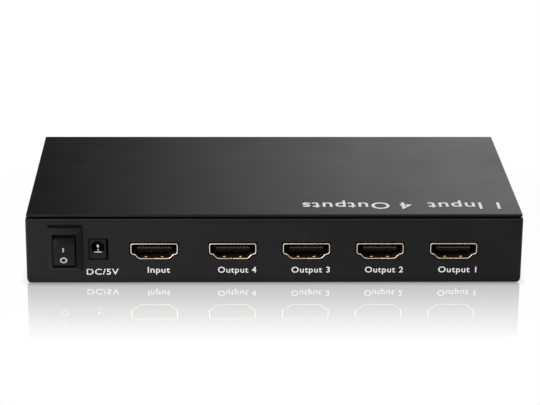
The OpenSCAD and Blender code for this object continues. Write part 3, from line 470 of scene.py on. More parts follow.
BLACK = (0.005, 0.005, 0.0053)
SOOT = (0.0075, 0.0075, 0.0079)
DUST = (0.022, 0.022, 0.023)
GRAINED = {
    "case_paint": dict(
        dark=BLACK, light=SOOT,
        polished=0.28, dull=0.35, grain=2600.0, depth=0.01, dust=DUST, Specular_IOR_Level=0.2),
    "screw_black": dict(
        dark=BLACK, light=SOOT,
        polished=0.28, dull=0.42, grain=3500.0, depth=0.01, dust=DUST, Specular_IOR_Level=0.45),
    "foot_rubber": dict(
        dark=grey(0.012), light=grey(0.018),
        polished=0.65, dull=0.85, grain=1800.0, depth=0.03, dust=grey(0.05)),
    "jack_plastic": dict(
        dark=BLACK, light=SOOT,
        polished=0.35, dull=0.5, grain=3000.0, depth=0.015, dust=DUST, Specular_IOR_Level=0.18),
    "switch_plastic": dict(
        dark=grey(0.006), light=grey(0.0085),
        polished=0.24, dull=0.34, grain=2200.0, depth=0.006, dust=DUST, Specular_IOR_Level=0.09),
    "rocker_plastic": dict(
        dark=grey(0.006), light=grey(0.0085),
        polished=0.26, dull=0.36, grain=2600.0, depth=0.006, dust=DUST, Specular_IOR_Level=0.12),
    "wire_red": dict(
        dark=(0.42, 0.012, 0.012), light=(0.5, 0.02, 0.018),
        polished=0.3, dull=0.42, grain=1500.0, depth=0.02, dust=(0.5, 0.1, 0.1)),
    "wire_black": dict(
        dark=grey(0.012), light=grey(0.02),
        polished=0.3, dull=0.42, grain=1500.0, depth=0.02, dust=DUST),
    "chip_plastic": dict(
        dark=grey(0.016), light=grey(0.024),
        polished=0.5, dull=0.65, grain=4000.0, depth=0.02, dust=DUST),
    "thermal_pad": dict(
        dark=(0.36, 0.38, 0.41), light=(0.42, 0.44, 0.47),
        polished=0.7, dull=0.85, grain=1200.0, depth=0.04, dust=grey(0.5)),
    "ferrite": dict(
        dark=grey(0.035), light=grey(0.055),
        polished=0.55, dull=0.7, grain=1600.0, depth=0.05, dust=grey(0.09)),
    "can_sleeve": dict(
        dark=(0.012, 0.014, 0.075), light=(0.018, 0.02, 0.1),
        polished=0.2, dull=0.32, grain=1200.0, depth=0.01, dust=(0.1, 0.1, 0.2)),
}
METALS = {
    "steel": dict(
        bright=(0.62, 0.61, 0.59), tarnished=(0.5, 0.49, 0.47),
        polished=0.22, dull=0.38, stretch=(1.0, 1.0, 0.1)),
    "contact_gold": dict(
        bright=(0.9, 0.66, 0.3), tarnished=(0.8, 0.54, 0.22),
        polished=0.15, dull=0.28, stretch=(1.0, 0.1, 1.0)),
    "jack_metal": dict(
        bright=(0.82, 0.81, 0.79), tarnished=(0.72, 0.71, 0.68),
        polished=0.28, dull=0.4, stretch=(1.0, 0.1, 1.0)),
    "copper_alloy": dict(
        bright=(0.72, 0.43, 0.22), tarnished=(0.55, 0.3, 0.14),
        polished=0.25, dull=0.42, stretch=(1.0, 0.2, 1.0)),
    "aluminium": dict(
        bright=(0.72, 0.72, 0.73), tarnished=(0.6, 0.6, 0.61),
        polished=0.3, dull=0.45, stretch=(1.0, 0.05, 1.0)),
}
finishes = {slot: grained(slot, **look) for slot, look in GRAINED.items()}
finishes.update({slot: metal(slot, **look) for slot, look in METALS.items()})
finishes.update({
    "board": solder_mask(),
    "socket_gold": plated_shell(),
    "tongue_plastic": highlighted_tongue(),
    "led_red": lens("led_red", deep=(0.45, 0.012, 0.008), pale=(0.6, 0.03, 0.02)),
    "led_green": lens("led_green", deep=(0.03, 0.3, 0.06), pale=(0.06, 0.42, 0.1)),
})
white_print = printed_ink("white_print", thin=0.86, full=0.95)
sign_print = printed_ink("sign_print", thin=0.42, full=0.55)
for node, slot in slots.items():
    nodes[node].data.materials.clear()
    nodes[node].data.materials.append(finishes[slot])


# Modelling helpers

def metres(*values):
    return Vector(values) * MM


def select_only(*pieces):
    bpy.ops.object.select_all(action="DESELECT")
    for piece in pieces:
        piece.select_set(True)
    bpy.context.view_layer.objects.active = pieces[0]


def named(name):
    """The primitive that was just added, with its place put in its mesh."""
    piece = bpy.context.object
    piece.name = piece.data.name = name
    bpy.ops.object.transform_apply(location=True, rotation=True, scale=True)
    return piece


def block(name, centre, size):
    """A box that starts a piece."""
    bpy.ops.object.select_all(action="DESELECT")
    bpy.ops.mesh.primitive_cube_add(size=1.0, location=centre, scale=size)
    return named(name)


def drum(name, centre, radius, depth, along, sides=40):
    """A cylinder that starts a piece, along X, Y or Z."""
    turn = {"X": (0, math.pi / 2, 0), "Y": (math.pi / 2, 0, 0), "Z": (0, 0, 0)}[along]
    bpy.ops.object.select_all(action="DESELECT")
    bpy.ops.mesh.primitive_cylinder_add(
        vertices=sides, radius=radius, depth=depth, location=centre, rotation=turn
    )
    return named(name)


def outline(name, corners):
    """A flat face with these corners, made from a circle of as many points."""
    bpy.ops.object.select_all(action="DESELECT")
    bpy.ops.mesh.primitive_circle_add(vertices=len(corners), fill_type="NGON")
    piece = named(name)
    for vertex, corner in zip(piece.data.vertices, corners):
        vertex.co = corner
    return piece


def pick(piece, kind, test):
    """Edit mode, with only the faces or edges selected that pass a test of their middle and direction."""
    select_only(piece)
    bpy.ops.object.mode_set(mode="EDIT")
    bpy.ops.mesh.select_mode(type=kind)
    bpy.ops.mesh.select_all(action="DESELECT")
    bpy.ops.object.mode_set(mode="OBJECT")
    mesh = piece.data
    if kind == "FACE":
        for face in mesh.polygons:
            face.select = test(face.center, face.normal)
    else:
        for edge in mesh.edges:
            a, b = (mesh.vertices[i].co for i in edge.vertices)
            edge.select = test((a + b) / 2, (b - a).normalized())
    bpy.ops.object.mode_set(mode="EDIT")


def pick_all(piece):
    select_only(piece)
    bpy.ops.object.mode_set(mode="EDIT")
    bpy.ops.mesh.select_all(action="SELECT")


def done():
    bpy.ops.object.mode_set(mode="OBJECT")


def extrude(move):
    bpy.ops.mesh.extrude_region_move(TRANSFORM_OT_translate={"value": move})


def outward(piece):
    """Merges doubled points and turns all faces outwards."""
    pick_all(piece)
    bpy.ops.mesh.remove_doubles(threshold=MERGED * MM)
    bpy.ops.mesh.normals_make_consistent(inside=False)
    done()


def modified(piece, kind, **settings):
    """Adds a modifier and applies it."""
    select_only(piece)
    modifier = piece.modifiers.new(kind.lower(), kind)
    for key, value in settings.items():
        setattr(modifier, key, value)
    bpy.ops.object.modifier_apply(modifier=modifier.name)


def rounded(piece, radius, angle=40.0, segments=3):
    """Rounds the sharp edges and shades the rest smooth."""
    modified(piece, "BEVEL", width=radius * MM, segments=segments, limit_method="ANGLE",
             angle_limit=math.radians(angle), harden_normals=False, use_clamp_overlap=True)
    select_only(piece)
    bpy.ops.object.shade_smooth_by_angle(angle=math.radians(SMOOTH_ANGLE))


def cut(piece, *cutters):
    """Takes the cutters' shapes out of the piece."""
    for cutter in cutters:
        modified(piece, "BOOLEAN", operation="DIFFERENCE", object=cutter, solver="EXACT")
        bpy.data.objects.remove(cutter)


def joined(piece, *others):
    select_only(piece, *others)
    bpy.ops.object.join()
    return piece


def copied(piece, name, move):
    """A copy with its own mesh, moved in the mesh."""
    select_only(piece)
    bpy.ops.object.duplicate()
    made = bpy.context.object
    made.name = made.data.name = name
    bpy.ops.transform.translate(value=move)
    bpy.ops.object.transform_apply(location=True, rotation=True, scale=True)
    return made


def dressed(piece, body, slot, *stands_for):
    """Gives a finished piece its finish and body, and hides the solids that it stands for."""
    piece.data.materials.clear()
    piece.data.materials.append(finishes[slot])
    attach(piece, body)
    if stands_for:
        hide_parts(*stands_for)


def dome(name, place, radius, height):
    """Half a flattened ball that stands on a level face."""
    bpy.ops.object.select_all(action="DESELECT")
    bpy.ops.mesh.primitive_uv_sphere_add(segments=20, ring_count=12, radius=radius * MM, location=place,
                                         scale=(1.0, 1.0, height / radius))
    made = named(name)
    pick(made, "FACE", lambda middle, normal: middle.z < place.z)
    bpy.ops.mesh.delete(type="FACE")
    done()
    pick(made, "EDGE", lambda middle, way: middle.z - place.z < CLOSE * MM)
    bpy.ops.mesh.edge_face_add()
    done()
    outward(made)
    bpy.ops.object.shade_smooth_by_angle(angle=math.radians(DOME_SMOOTH_ANGLE))
    return made


# Gold shells of the video sockets

def shell_corners():
    """The opening's corners, as X and Z from its middle."""
    roof, half = SOCKET_H / 2, SOCKET_W / 2
    side_end = roof - SOCKET_SIDE
    right = [(SOCKET_FLOOR / 2, -roof), (half - LEDGE_W, side_end - LEDGE_DROP),
             (half, side_end), (half, roof)]
    return right + [(-x, z) for x, z in reversed(right)]


def shell_leg(rim, side, back):
    """A leg that goes through the board, beside the shell and back from its rim."""
    top = rim.z + (SOCKET_H / 2 - SOCKET_SIDE) * MM
    low = rim.z - (SOCKET_H / 2 + SHELL_WALL + LEG_LEN) * MM
    across = rim.x + side * (SOCKET_W + SHELL_WALL) / 2 * MM
    leg = block("leg", Vector((across, rim.y + back * MM, (top + low) / 2)),
                Vector((SHELL_WALL * MM, LEG_W * MM, top - low)))
    rounded(leg, EDGE_ROUND)
    return leg


def socket_shell(name, rim):
    """A folded shell with a seam below, two contact bumps and four legs; rim is its opening's middle."""
    shell = outline(name, [rim + metres(x, 0, z) for x, z in shell_corners()])
    pick_all(shell)
    bpy.ops.mesh.bevel(offset=SOCKET_ROUND * MM, segments=5, affect="VERTICES")
    bpy.ops.mesh.select_all(action="SELECT")
    extrude(metres(0, SHELL_LEN, 0))
    done()
    outward(shell)
    pick(shell, "FACE", lambda middle, normal: abs(normal.y) > FACING)
    bpy.ops.mesh.delete(type="ONLY_FACE")
    done()
    modified(shell, "SOLIDIFY", thickness=SHELL_WALL * MM, offset=1.0, use_even_offset=True)
    bottom = rim.z - SOCKET_H / 2 * MM
    seam = Vector((rim.x, rim.y + SHELL_LEN / 2 * MM, bottom - SHELL_WALL / 2 * MM))
    cut(shell, block("seam", seam, metres(SHELL_SEAM, SHELL_LEN + 2 * PAST, 2 * SHELL_WALL)))
    rounded(shell, RIM_ROUND, angle=50.0)
    extras = []
    for side in (-1, 1):
        place = Vector((rim.x + side * BUMP_PITCH / 2 * MM, rim.y + BUMP_IN * MM, bottom))
        extras.append(dome("bump", place, BUMP_R, BUMP_H))
        extras += [shell_leg(rim, side, back) for back in LEG_PLACES]
    return joined(shell, *extras)


first_rim = mounts["video_" + PORTS[0]]
first_shell = socket_shell("shell_" + PORTS[0], first_rim)
for port in PORTS:
    made = first_shell
    if port != PORTS[0]:
        made = copied(first_shell, "shell_" + port, mounts["video_" + port] - first_rim)
    dressed(made, "case", "socket_gold", "socket_shell_" + port)


# Contact dome on the spring leaf of the power jack

def leaf_dome():
    low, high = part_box("dc_jack_contact")
    place = Vector(((low.x + high.x) / 2, low.y + LEAF_DOME_IN * MM, high.z))
    return dome("leaf_dome", place, LEAF_DOME_R, LEAF_DOME_H)


dressed(leaf_dome(), "case", "jack_metal")


# Frame of the rocker switch

def snap_wing(side):
    """A wedge above or below the housing, which snaps in behind the panel."""
    root = pivot + metres(WING_W / 2, WING_Y, side * HOUSING_H / 2)
    corners = [root, root + metres(0, 0, side * WING_H), root + metres(0, WING_LEN, 0)]
    wing = outline("wing", corners)
    pick_all(wing)
    extrude(metres(-WING_W, 0, 0))
    done()
    outward(wing)
    rounded(wing, EDGE_ROUND)
    return wing


def switch_frame():
    """Bezel with sloping sides round the rocker's window, and the housing behind the panel."""
    made = block("switch_frame", pivot + metres(0, -BEZEL_EDGE / 2, 0),
                 metres(BEZEL_W, BEZEL_EDGE, BEZEL_H))
    front = (WINDOW_W + 2 * BEZEL_LAND, WINDOW_H + 2 * BEZEL_LAND)
    pick(made, "FACE", lambda middle, normal: normal.y < -FACING)
    extrude(metres(0, BEZEL_EDGE - BEZEL_OUT, 0))
    bpy.ops.transform.resize(value=(front[0] / BEZEL_W, 1.0, front[1] / BEZEL_H),
                             center_override=pivot + metres(0, -BEZEL_OUT, 0))
    bpy.ops.mesh.inset(thickness=BEZEL_LAND * MM)
    extrude(metres(0, BEZEL_OUT + WINDOW_DEPTH, 0))
    done()
    pick(made, "FACE", lambda middle, normal: normal.y > FACING and abs(middle.y - pivot.y) < CLOSE * MM)
    bpy.ops.mesh.inset(thickness=(BEZEL_W - HOUSING_W) / 2 * MM)
    taller = HOUSING_H / (BEZEL_H - BEZEL_W + HOUSING_W)
    bpy.ops.transform.resize(value=(1.0, 1.0, taller), center_override=pivot)
    extrude(metres(0, HOUSING_LEN, 0))
    done()
    rounded(made, BEZEL_ROUND, angle=30.0)
    outward(made)
    return joined(made, snap_wing(-1), snap_wing(1))


dressed(switch_frame(), "case", "switch_plastic", "switch_housing")


# Rocker, drawn in its middle position and then tipped to rest

def tipped(piece):
    """Turns a piece about the rocker's axis from the middle position to the rest pose."""
    tilt = Matrix.Rotation(math.radians(ROCKER_TILT), 4, "X")
    turn = Matrix.Translation(pivot) @ tilt @ Matrix.Translation(-pivot)
    select_only(piece)
    piece.matrix_world = turn @ piece.matrix_world
    bpy.ops.object.transform_apply(location=True, rotation=True, scale=True)
    return piece


def from_pivot(radius, degrees):
    """A point of the rocker's outline, by its distance and angle from the pivot."""
    angle = math.radians(degrees)
    return -radius * math.cos(angle), radius * math.sin(angle)


def rocker_profile():
    """Two tipping faces that meet in a shallow valley, and two ends that run into a round."""
    first = TIP_ANGLE + END_ANGLE
    last = math.degrees(math.acos(-ROCKER_BACK / ROCKER_R))
    ends = [from_pivot(ROCKER_R, first + (last - first) * k / END_STEPS) for k in range(END_STEPS + 1)]
    upper = [from_pivot(TIP_R, TIP_ANGLE)] + ends
    valley = (upper[0][0] + ROCKER_VALLEY, 0.0)
    return [valley] + upper + [(y, -z) for y, z in reversed(upper)]


def rocker_cap():
    """The rocker with its two side pins and the stem that holds the plunger."""
    side = pivot + metres(ROCKER_W / 2, 0, 0)
    cap = outline("rocker_cap", [side + metres(0, y, z) for y, z in rocker_profile()])
    pick_all(cap)
    extrude(metres(-ROCKER_W, 0, 0))
    done()
    outward(cap)
    rounded(cap, ROCKER_ROUND, angle=30.0, segments=4)
    pins = drum("pins", pivot, PIN_R * MM, PIN_SPAN * MM, "X")
    rounded(pins, PIN_ROUND)
    stem = drum("stem", pivot + metres(0, (ROCKER_BACK + STEM_REACH) / 2, 0), STEM_R * MM,
                (STEM_REACH - ROCKER_BACK) * MM, "Y")
    pick(stem, "FACE", lambda middle, normal: normal.y > FACING)
    bpy.ops.mesh.inset(thickness=(STEM_R - STEM_BORE_R) * MM)
    extrude(metres(0, ROCKER_BACK + STEM_FLOOR - STEM_REACH, 0))
    done()
    rounded(stem, EDGE_ROUND)
    return tipped(joined(cap, pins, stem))


def face_place(upper):
    """Middle of one of the rocker's two faces, and the face's slope from upright."""
    y, z = from_pivot(TIP_R, TIP_ANGLE)
    half = 1 if upper else -1
    slope = half * math.atan2(ROCKER_VALLEY, z)
    return pivot + metres(SIGN_X, y + ROCKER_VALLEY / 2, half * z / 2), slope


def sign_bar():
    """The upright stroke that marks the closed position, drawn at the origin."""
    bar = block("sign_on", Vector((0, 0, 0)), metres(SIGN_STROKE, 2 * INK, SIGN_BAR_H))
    rounded(bar, SIGN_ROUND)
    return bar


def sign_ring():
    """The ring that marks the open position, drawn at the origin."""
    ring = drum("sign_off", Vector((0, 0, 0)), SIGN_RING_W / 2 * MM, 2 * INK * MM, "Y", sides=56)
    hole = drum("hole", Vector((0, 0, 0)), (SIGN_RING_W / 2 - SIGN_STROKE) * MM, PAST * MM, "Y", sides=56)
    cut(ring, hole)
    pick_all(ring)
    bpy.ops.transform.resize(value=(1.0, 1.0, SIGN_RING_H / SIGN_RING_W), center_override=(0, 0, 0))
    done()
    return ring


dressed(rocker_cap(), "rocker", "rocker_plastic", "switch_rocker")
for sign, upper in ((sign_bar(), True), (sign_ring(), False)):
    place, slope = face_place(upper)
    select_only(sign)
    sign.matrix_world = Matrix.Translation(place) @ Matrix.Rotation(slope, 4, "X")
    bpy.ops.object.transform_apply(location=True, rotation=True, scale=True)
    tipped(sign)
    sign.data.materials.append(sign_print)
    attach(sign, "rocker")


# Cover screws in the two sides

def side_screw(name, seat, side):
    """A sunk screw with a cross slot; seat is where its axis meets the wall's outer face."""
    top = seat - metres(side * HEAD_SINK, 0, 0)
    head = drum(name, top - metres(side * HEAD_H / 2, 0, 0), HEAD_R * MM, HEAD_H * MM, "X")
    pick(head, "FACE", lambda middle, normal: normal.x * side < -FACING)
    taper = SCREW_R / HEAD_R
    bpy.ops.transform.resize(value=(1.0, taper, taper), center_override=seat)
    done()
    slot_centre = top + metres(side * (PAST - CROSS_DEPTH), 0, 0)
    cut(head, block("slot_a", slot_centre, metres(2 * PAST, CROSS_LEN, CROSS_W)),
        block("slot_b", slot_centre, metres(2 * PAST, CROSS_W, CROSS_LEN)))
    rounded(head, HEAD_ROUND)
    shank_len = SCREW_LEN - HEAD_SINK - HEAD_H / 2
    shank = drum("shank", seat - metres(side * (SCREW_LEN - shank_len / 2), 0, 0), SCREW_R * MM,
                 shank_len * MM, "X")
    rounded(shank, SHANK_ROUND)
    return joined(head, shank)


def cover_screws():
    low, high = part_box("cover_screws")
    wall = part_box("base_tray")[1].x
    middle = (low.z + high.z) / 2
    made = [side_screw("side_screws", Vector((side * wall, y, middle)), side)
            for side in (-1, 1) for y in (low.y + HEAD_R * MM, high.y - HEAD_R * MM)]
    return joined(*made)


dressed(cover_screws(), "case", "screw_black", "cover_screws")


# Rubber feet

def rubber_foot(name, node):
    """A round foot with a hollow in its underside."""
    low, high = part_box(node)
    foot = drum(name, (low + high) / 2, (high.x - low.x) / 2, high.z - low.z, "Z", sides=64)
    pick(foot, "FACE", lambda middle, normal: normal.z < -FACING)
    bpy.ops.mesh.inset(thickness=FOOT_DISH_EDGE * MM)
    extrude(metres(0, 0, FOOT_DISH))
    bpy.ops.transform.resize(value=(FOOT_TAPER, FOOT_TAPER, 1.0), center_override=(low + high) / 2)
    done()
    rounded(foot, FOOT_ROUND)
    return foot


for foot in FEET:
    dressed(rubber_foot("rubber_" + foot, foot), "case", "foot_rubber", foot)


# White print

def lettering(name, words, cap, place, facing, span=None):
    """Printed words with capitals of that height, centred at place, and that wide if span is given."""
    bpy.ops.object.select_all(action="DESELECT")
    bpy.ops.object.text_add(location=(0, 0, 0))
    text = bpy.context.object
    text.data.body = words
    text.data.align_x = "CENTER"
    text.data.space_character = LETTER_GAP
    text.data.resolution_u = LETTER_STEPS
    text.data.offset = LETTER_WEIGHT
    text.data.extrude = LETTER_DEPTH
    bpy.ops.object.convert(target="MESH")
    piece = bpy.context.object
    piece.name = piece.data.name = name
    xs, ys, zs = zip(*(v.co for v in piece.data.vertices))
    tall = cap * MM / max(ys)
    wide = tall if span is None else span * MM / (max(xs) - min(xs))
    thick = INK * MM / (max(zs) - min(zs))
    centre = Vector(((max(xs) + min(xs)) / 2, max(ys) / 2, min(zs)))
    piece.matrix_world = (Matrix.Translation(place) @ facing.to_4x4()
                          @ Matrix.Diagonal((wide, tall, thick, 1.0)) @ Matrix.Translation(-centre))
    bpy.ops.object.transform_apply(location=True, rotation=True, scale=True)
    outward(piece)
    piece.data.materials.append(white_print)
    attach(piece, "case")


ON_SOCKET_PANEL = Matrix(((1, 0, 0), (0, 0, -1), (0, 1, 0)))
ON_FRONT_PANEL = Matrix(((-1, 0, 0), (0, 0, 1), (0, 1, 0)))
ON_COVER = Matrix(((-1, 0, 0), (0, -1, 0), (0, 0, 1)))
face_y = pivot.y
front_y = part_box("base_tray")[1].y
cover_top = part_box("top_cover")[1].z
for port in PORTS:
    words, span = ("Input", INPUT_SPAN) if port == "input" else ("Output " + port[-1], OUTPUT_SPAN)
    place = Vector((mounts["video_" + port].x + LABEL_SHIFT * MM, face_y, LABEL_Z * MM))
    lettering("label_" + port, words, LABEL_CAP, place, ON_SOCKET_PANEL, span)
supply_place = Vector((mounts["dc_pin"].x + LABEL_SHIFT * MM, face_y, SUPPLY_Z * MM))
lettering("label_supply", "DC/5V", LABEL_CAP, supply_place, ON_SOCKET_PANEL, SUPPLY_SPAN)
cover_place = Vector((COVER_LABEL_X * MM, face_y + COVER_LABEL_IN * MM, cover_top))
lettering("label_cover", "1 Input  4 Outputs", COVER_CAP, cover_place, ON_COVER, COVER_SPAN)
for light in LIGHTS:
    low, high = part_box("led_" + light)
    words = "ON" if light == "power" else light[-1]
    place = Vector(((low.x + high.x) / 2, front_y, LIGHT_LABEL_Z * MM))
    lettering("label_light_" + light, words, LABEL_CAP, place, ON_FRONT_PANEL)


# Stage: floor, world and lamps

def light_path_mask(tree):
    """1 for what is seen straight, in a reflection or through glass."""
    ray = tree.nodes.new("ShaderNodeLightPath").outputs
    straight_or_mirrored = calculated(tree, "MAXIMUM", ray["Is Camera Ray"], ray["Is Glossy Ray"])
    return calculated(tree, "MAXIMUM", straight_or_mirrored, ray["Is Transmission Ray"])


WHITE = (1.0, 1.0, 1.0, 1.0)
PAPER = (0.85, 0.85, 0.85, 1.0)
FLOOR_SIZE = 8000.0
# Shares of reflection and shadow at the box's foot, and the millimetres in which they fade out
MIRROR = 0.46
MIRROR_REACH = 44.0
SHADOW = 0.045
SHADOW_REACH = 50.0
FOOT_LINE = 0.6
FOOT_LINE_REACH = 2.2
# What the object's gloss sees in the floor: brighter on the left, and darker close to the box
POOL_FROM = -90.0
POOL_TO = 45.0
POOL_LEFT = 1.26
POOL_RIGHT = 0.7
CONTACT_FROM = 2.5
CONTACT_TO = 5.0
CONTACT = 0.6
# The mirror's slope is LEAN / (distance + LEAN_NEAR), and LEAN_MOST at most
LEAN = 0.65
LEAN_NEAR = 0.84
LEAN_MOST = 0.14


def past_edges(tree, from_middle, half):
    """How far a place lies outside a span, from its way from the span's middle and half the span."""
    beyond = calculated(tree, "SUBTRACT", calculated(tree, "ABSOLUTE", from_middle), half)
    return calculated(tree, "MAXIMUM", beyond, 0.0)


def from_box(tree, place):
    """A floor point's distance from the box, the part of it along Y, and the side of the box it is on."""
    low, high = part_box("base_tray")
    middle, half = (low + high) / 2, (high - low) / 2
    from_middle_x = calculated(tree, "SUBTRACT", place["X"], middle.x)
    from_middle_y = calculated(tree, "SUBTRACT", place["Y"], middle.y)
    past_x = past_edges(tree, from_middle_x, half.x)
    past_y = past_edges(tree, from_middle_y, half.y)
    squares = [calculated(tree, "MULTIPLY", past, past) for past in (past_x, past_y)]
    distance = calculated(tree, "SQRT", calculated(tree, "ADD", *squares))
    return distance, past_y, calculated(tree, "SIGN", from_middle_y)


def leaning_normal(tree, distance, past_y, side):
    """Leans out from the two long walls, so that their reflection starts near the box's lower edge."""
    near = calculated(tree, "DIVIDE", LEAN * MM, calculated(tree, "ADD", distance, LEAN_NEAR * MM))
    lean = calculated(tree, "MULTIPLY", side, calculated(tree, "MINIMUM", near, LEAN_MOST))
    before_wall = calculated(tree, "DIVIDE", past_y, distance)
    leaning = tree.nodes.new("ShaderNodeCombineXYZ")
    tree.links.new(calculated(tree, "MULTIPLY", lean, before_wall), leaning.inputs["Y"])
    leaning.inputs["Z"].default_value = 1.0
    made = tree.nodes.new("ShaderNodeVectorMath")
    made.operation = "NORMALIZE"
    tree.links.new(leaning.outputs[0], made.inputs[0])
    return made.outputs["Vector"]


def floor_material():
    """White paper that mirrors the box and keeps its shadow; clear from below."""
    material = bpy.data.materials.new("floor")
    material.use_nodes = True
    tree = material.node_tree
    tree.nodes.clear()
    place = axes(tree, tree.nodes.new("ShaderNodeTexCoord").outputs["Object"])
    distance, past_y, side = from_box(tree, place)
    wide = spread(tree, distance, 0.0, SHADOW_REACH * MM, SHADOW, 0.0)
    close = spread(tree, distance, 0.0, FOOT_LINE_REACH * MM, FOOT_LINE, 0.0)
    shadow = calculated(tree, "MAXIMUM", wide, close)
    mirror = spread(tree, distance, 0.0, MIRROR_REACH * MM, MIRROR, 0.0)
    white = tree.nodes.new("ShaderNodeEmission")
    white.inputs["Strength"].default_value = 1.0
    paper = tree.nodes.new("ShaderNodeBsdfDiffuse")
    paper.inputs["Color"].default_value = PAPER
    gloss = tree.nodes.new("ShaderNodeBsdfAnisotropic")
    gloss.inputs["Color"].default_value = WHITE
    gloss.inputs["Roughness"].default_value = 0.0
    tree.links.new(leaning_normal(tree, distance, past_y, side), gloss.inputs["Normal"])
    seen = mixed(tree, shadow, white.outputs[0], paper.outputs[0])
    seen = mixed(tree, mirror, seen, gloss.outputs[0])
    pool = tree.nodes.new("ShaderNodeEmission")
    along = spread(tree, place["X"], POOL_FROM * MM, POOL_TO * MM, POOL_LEFT, POOL_RIGHT)
    contact = spread(tree, distance, CONTACT_FROM * MM, CONTACT_TO * MM, CONTACT, 1.0)
    tree.links.new(calculated(tree, "MULTIPLY", along, contact), pool.inputs["Strength"])
    reflected = mixed(tree, light_path_mask(tree), paper.outputs[0], pool.outputs[0])
    camera_ray = tree.nodes.new("ShaderNodeLightPath").outputs["Is Camera Ray"]
    lit = mixed(tree, camera_ray, reflected, seen)
    clear = tree.nodes.new("ShaderNodeBsdfTransparent")
    under = tree.nodes.new("ShaderNodeNewGeometry").outputs["Backfacing"]
    end = tree.nodes.new("ShaderNodeOutputMaterial")
    tree.links.new(mixed(tree, under, lit, clear.outputs[0]), end.inputs["Surface"])
    return material


def floor():
    bpy.ops.object.select_all(action="DESELECT")
    bpy.ops.mesh.primitive_plane_add(size=FLOOR_SIZE * MM, location=(0, 0, 0))
    piece = bpy.context.object
    piece.name = "floor"
    piece.data.materials.append(floor_material())


AMBIENT = 0.42
# Brightness that glossy surfaces see in front, by height: level, above the camera and overhead
HEIGHTS = [(0.0, 0.36), (0.35, 0.36), (0.6, 0.95), (0.9, 2.1), (0.95, 2.1), (0.98, 0.2)]
# How that changes from left to right
FRONT_FROM = -0.1
FRONT_TO = 0.15
FRONT_LEFT = 1.35
FRONT_RIGHT = 0.35
# Brightness behind: a dark flag on the left runs into a tall softbox on the right and a weak one far left
FAR_LEFT = -1.1
FAR_BOX = 0.5
FLAG_START = -0.35
FLAG_END = -0.055
SOFTBOX_END = 0.13
SOFTBOX = 1.38
# Where front turns into back, and the least way back that left and right are measured by
BACK_FROM = 0.2
BACK_TO = 0.5
BACK_LEAST = 0.05


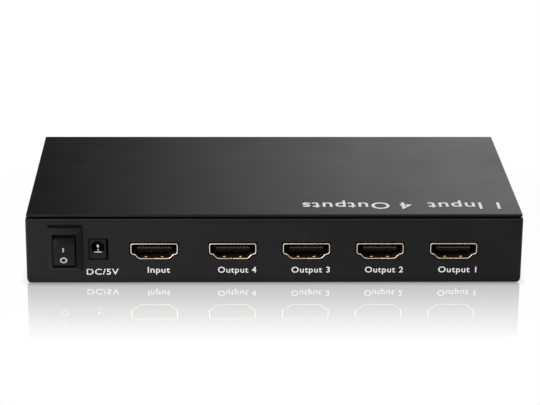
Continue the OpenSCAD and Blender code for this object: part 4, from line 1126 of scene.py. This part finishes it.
def studio():
    """White to the eye; glossy surfaces see a studio with a dark left back and a bright right back."""
    world = bpy.data.worlds.new("studio")
    bpy.context.scene.world = world
    world.use_nodes = True
    tree = world.node_tree
    tree.nodes.clear()
    way = axes(tree, tree.nodes.new("ShaderNodeTexCoord").outputs["Generated"])
    front = tree.nodes.new("ShaderNodeValToRGB")
    tree.links.new(way["Z"], front.inputs["Fac"])
    stops = front.color_ramp.elements
    while len(stops) < len(HEIGHTS):
        stops.new(position=0.5)
    for stop, (height, level) in zip(stops, HEIGHTS):
        stop.position = height
        stop.color = (level, level, level, 1.0)
    behind = spread(tree, way["Y"], BACK_FROM, BACK_TO)
    side = calculated(tree, "DIVIDE", way["X"], calculated(tree, "MAXIMUM", way["Y"], BACK_LEAST))
    left_back = spread(tree, side, FAR_LEFT, FLAG_START, FAR_BOX, 0.0)
    back = spread(tree, side, FLAG_END, SOFTBOX_END, left_back, SOFTBOX)
    tilt = spread(tree, way["X"], FRONT_FROM, FRONT_TO, FRONT_LEFT, FRONT_RIGHT)
    around = tree.nodes.new("ShaderNodeMix")
    tree.links.new(behind, around.inputs["Factor"])
    tree.links.new(calculated(tree, "MULTIPLY", front.outputs["Color"], tilt), around.inputs["A"])
    tree.links.new(back, around.inputs["B"])
    ray = tree.nodes.new("ShaderNodeLightPath").outputs
    blurred = calculated(tree, "SUBTRACT", 1.0, ray["Is Singular Ray"])
    glossy = calculated(tree, "MULTIPLY", ray["Is Glossy Ray"], blurred)
    seen = tree.nodes.new("ShaderNodeMix")
    tree.links.new(glossy, seen.inputs["Factor"])
    seen.inputs["A"].default_value = 1.0
    tree.links.new(around.outputs["Result"], seen.inputs["B"])
    ambient = tree.nodes.new("ShaderNodeBackground")
    ambient.inputs["Color"].default_value = WHITE
    ambient.inputs["Strength"].default_value = AMBIENT
    backdrop = tree.nodes.new("ShaderNodeBackground")
    backdrop.inputs["Color"].default_value = WHITE
    tree.links.new(seen.outputs["Result"], backdrop.inputs["Strength"])
    end = tree.nodes.new("ShaderNodeOutputWorld")
    lit = mixed(tree, light_path_mask(tree), ambient.outputs[0], backdrop.outputs[0])
    tree.links.new(lit, end.inputs["Surface"])


def softbox(name, place, size, watts):
    """A square lamp that faces the origin, with its place and size in metres."""
    lamp = bpy.data.lights.new(name, "AREA")
    lamp.size = size
    lamp.energy = watts
    made = bpy.data.objects.new(name, lamp)
    made.location = place
    made.rotation_euler = (-Vector(place)).to_track_quat("-Z", "Y").to_euler()
    made.visible_camera = False
    bpy.context.scene.collection.objects.link(made)


floor()
studio()
softbox("key", place=(-0.75, -0.62, 0.4), size=0.5, watts=6.5)
softbox("fill", place=(0.8, -0.6, 1.2), size=0.8, watts=6.0)


# Camera at the photograph's view

# Focal length and width of the frame in pixels, the rest in millimetres and degrees
FOCAL_PIXELS = 2049.5
FRAME_PIXELS = 540.0
SENSOR = 36.0
CAMERA_PLACE = (-17.51, -630.385, 238.49)
CAMERA_PITCH = 19.641
CAMERA_YAW = 1.537
CAMERA_ROLL = 0.482
CLIP_NEAR = 10.0
CLIP_FAR = 50000.0


def camera():
    data = bpy.data.cameras.new("camera")
    data.sensor_width = SENSOR
    data.lens = FOCAL_PIXELS * SENSOR / FRAME_PIXELS
    data.clip_start = CLIP_NEAR * MM
    data.clip_end = CLIP_FAR * MM
    made = bpy.data.objects.new("camera", data)
    pitch, yaw, roll = (math.radians(a) for a in (CAMERA_PITCH, CAMERA_YAW, CAMERA_ROLL))
    ahead = Vector((math.sin(yaw) * math.cos(pitch), math.cos(yaw) * math.cos(pitch), -math.sin(pitch)))
    level = Vector((math.cos(yaw), -math.sin(yaw), 0.0))
    above = level.cross(ahead)
    right = math.cos(roll) * level + math.sin(roll) * above
    up = math.cos(roll) * above - math.sin(roll) * level
    turn = Matrix((right, up, -ahead)).transposed()
    made.matrix_world = Matrix.Translation(metres(*CAMERA_PLACE)) @ turn.to_4x4()
    bpy.context.scene.collection.objects.link(made)
    bpy.context.scene.camera = made


camera()
bpy.context.scene.view_settings.view_transform = "Standard"
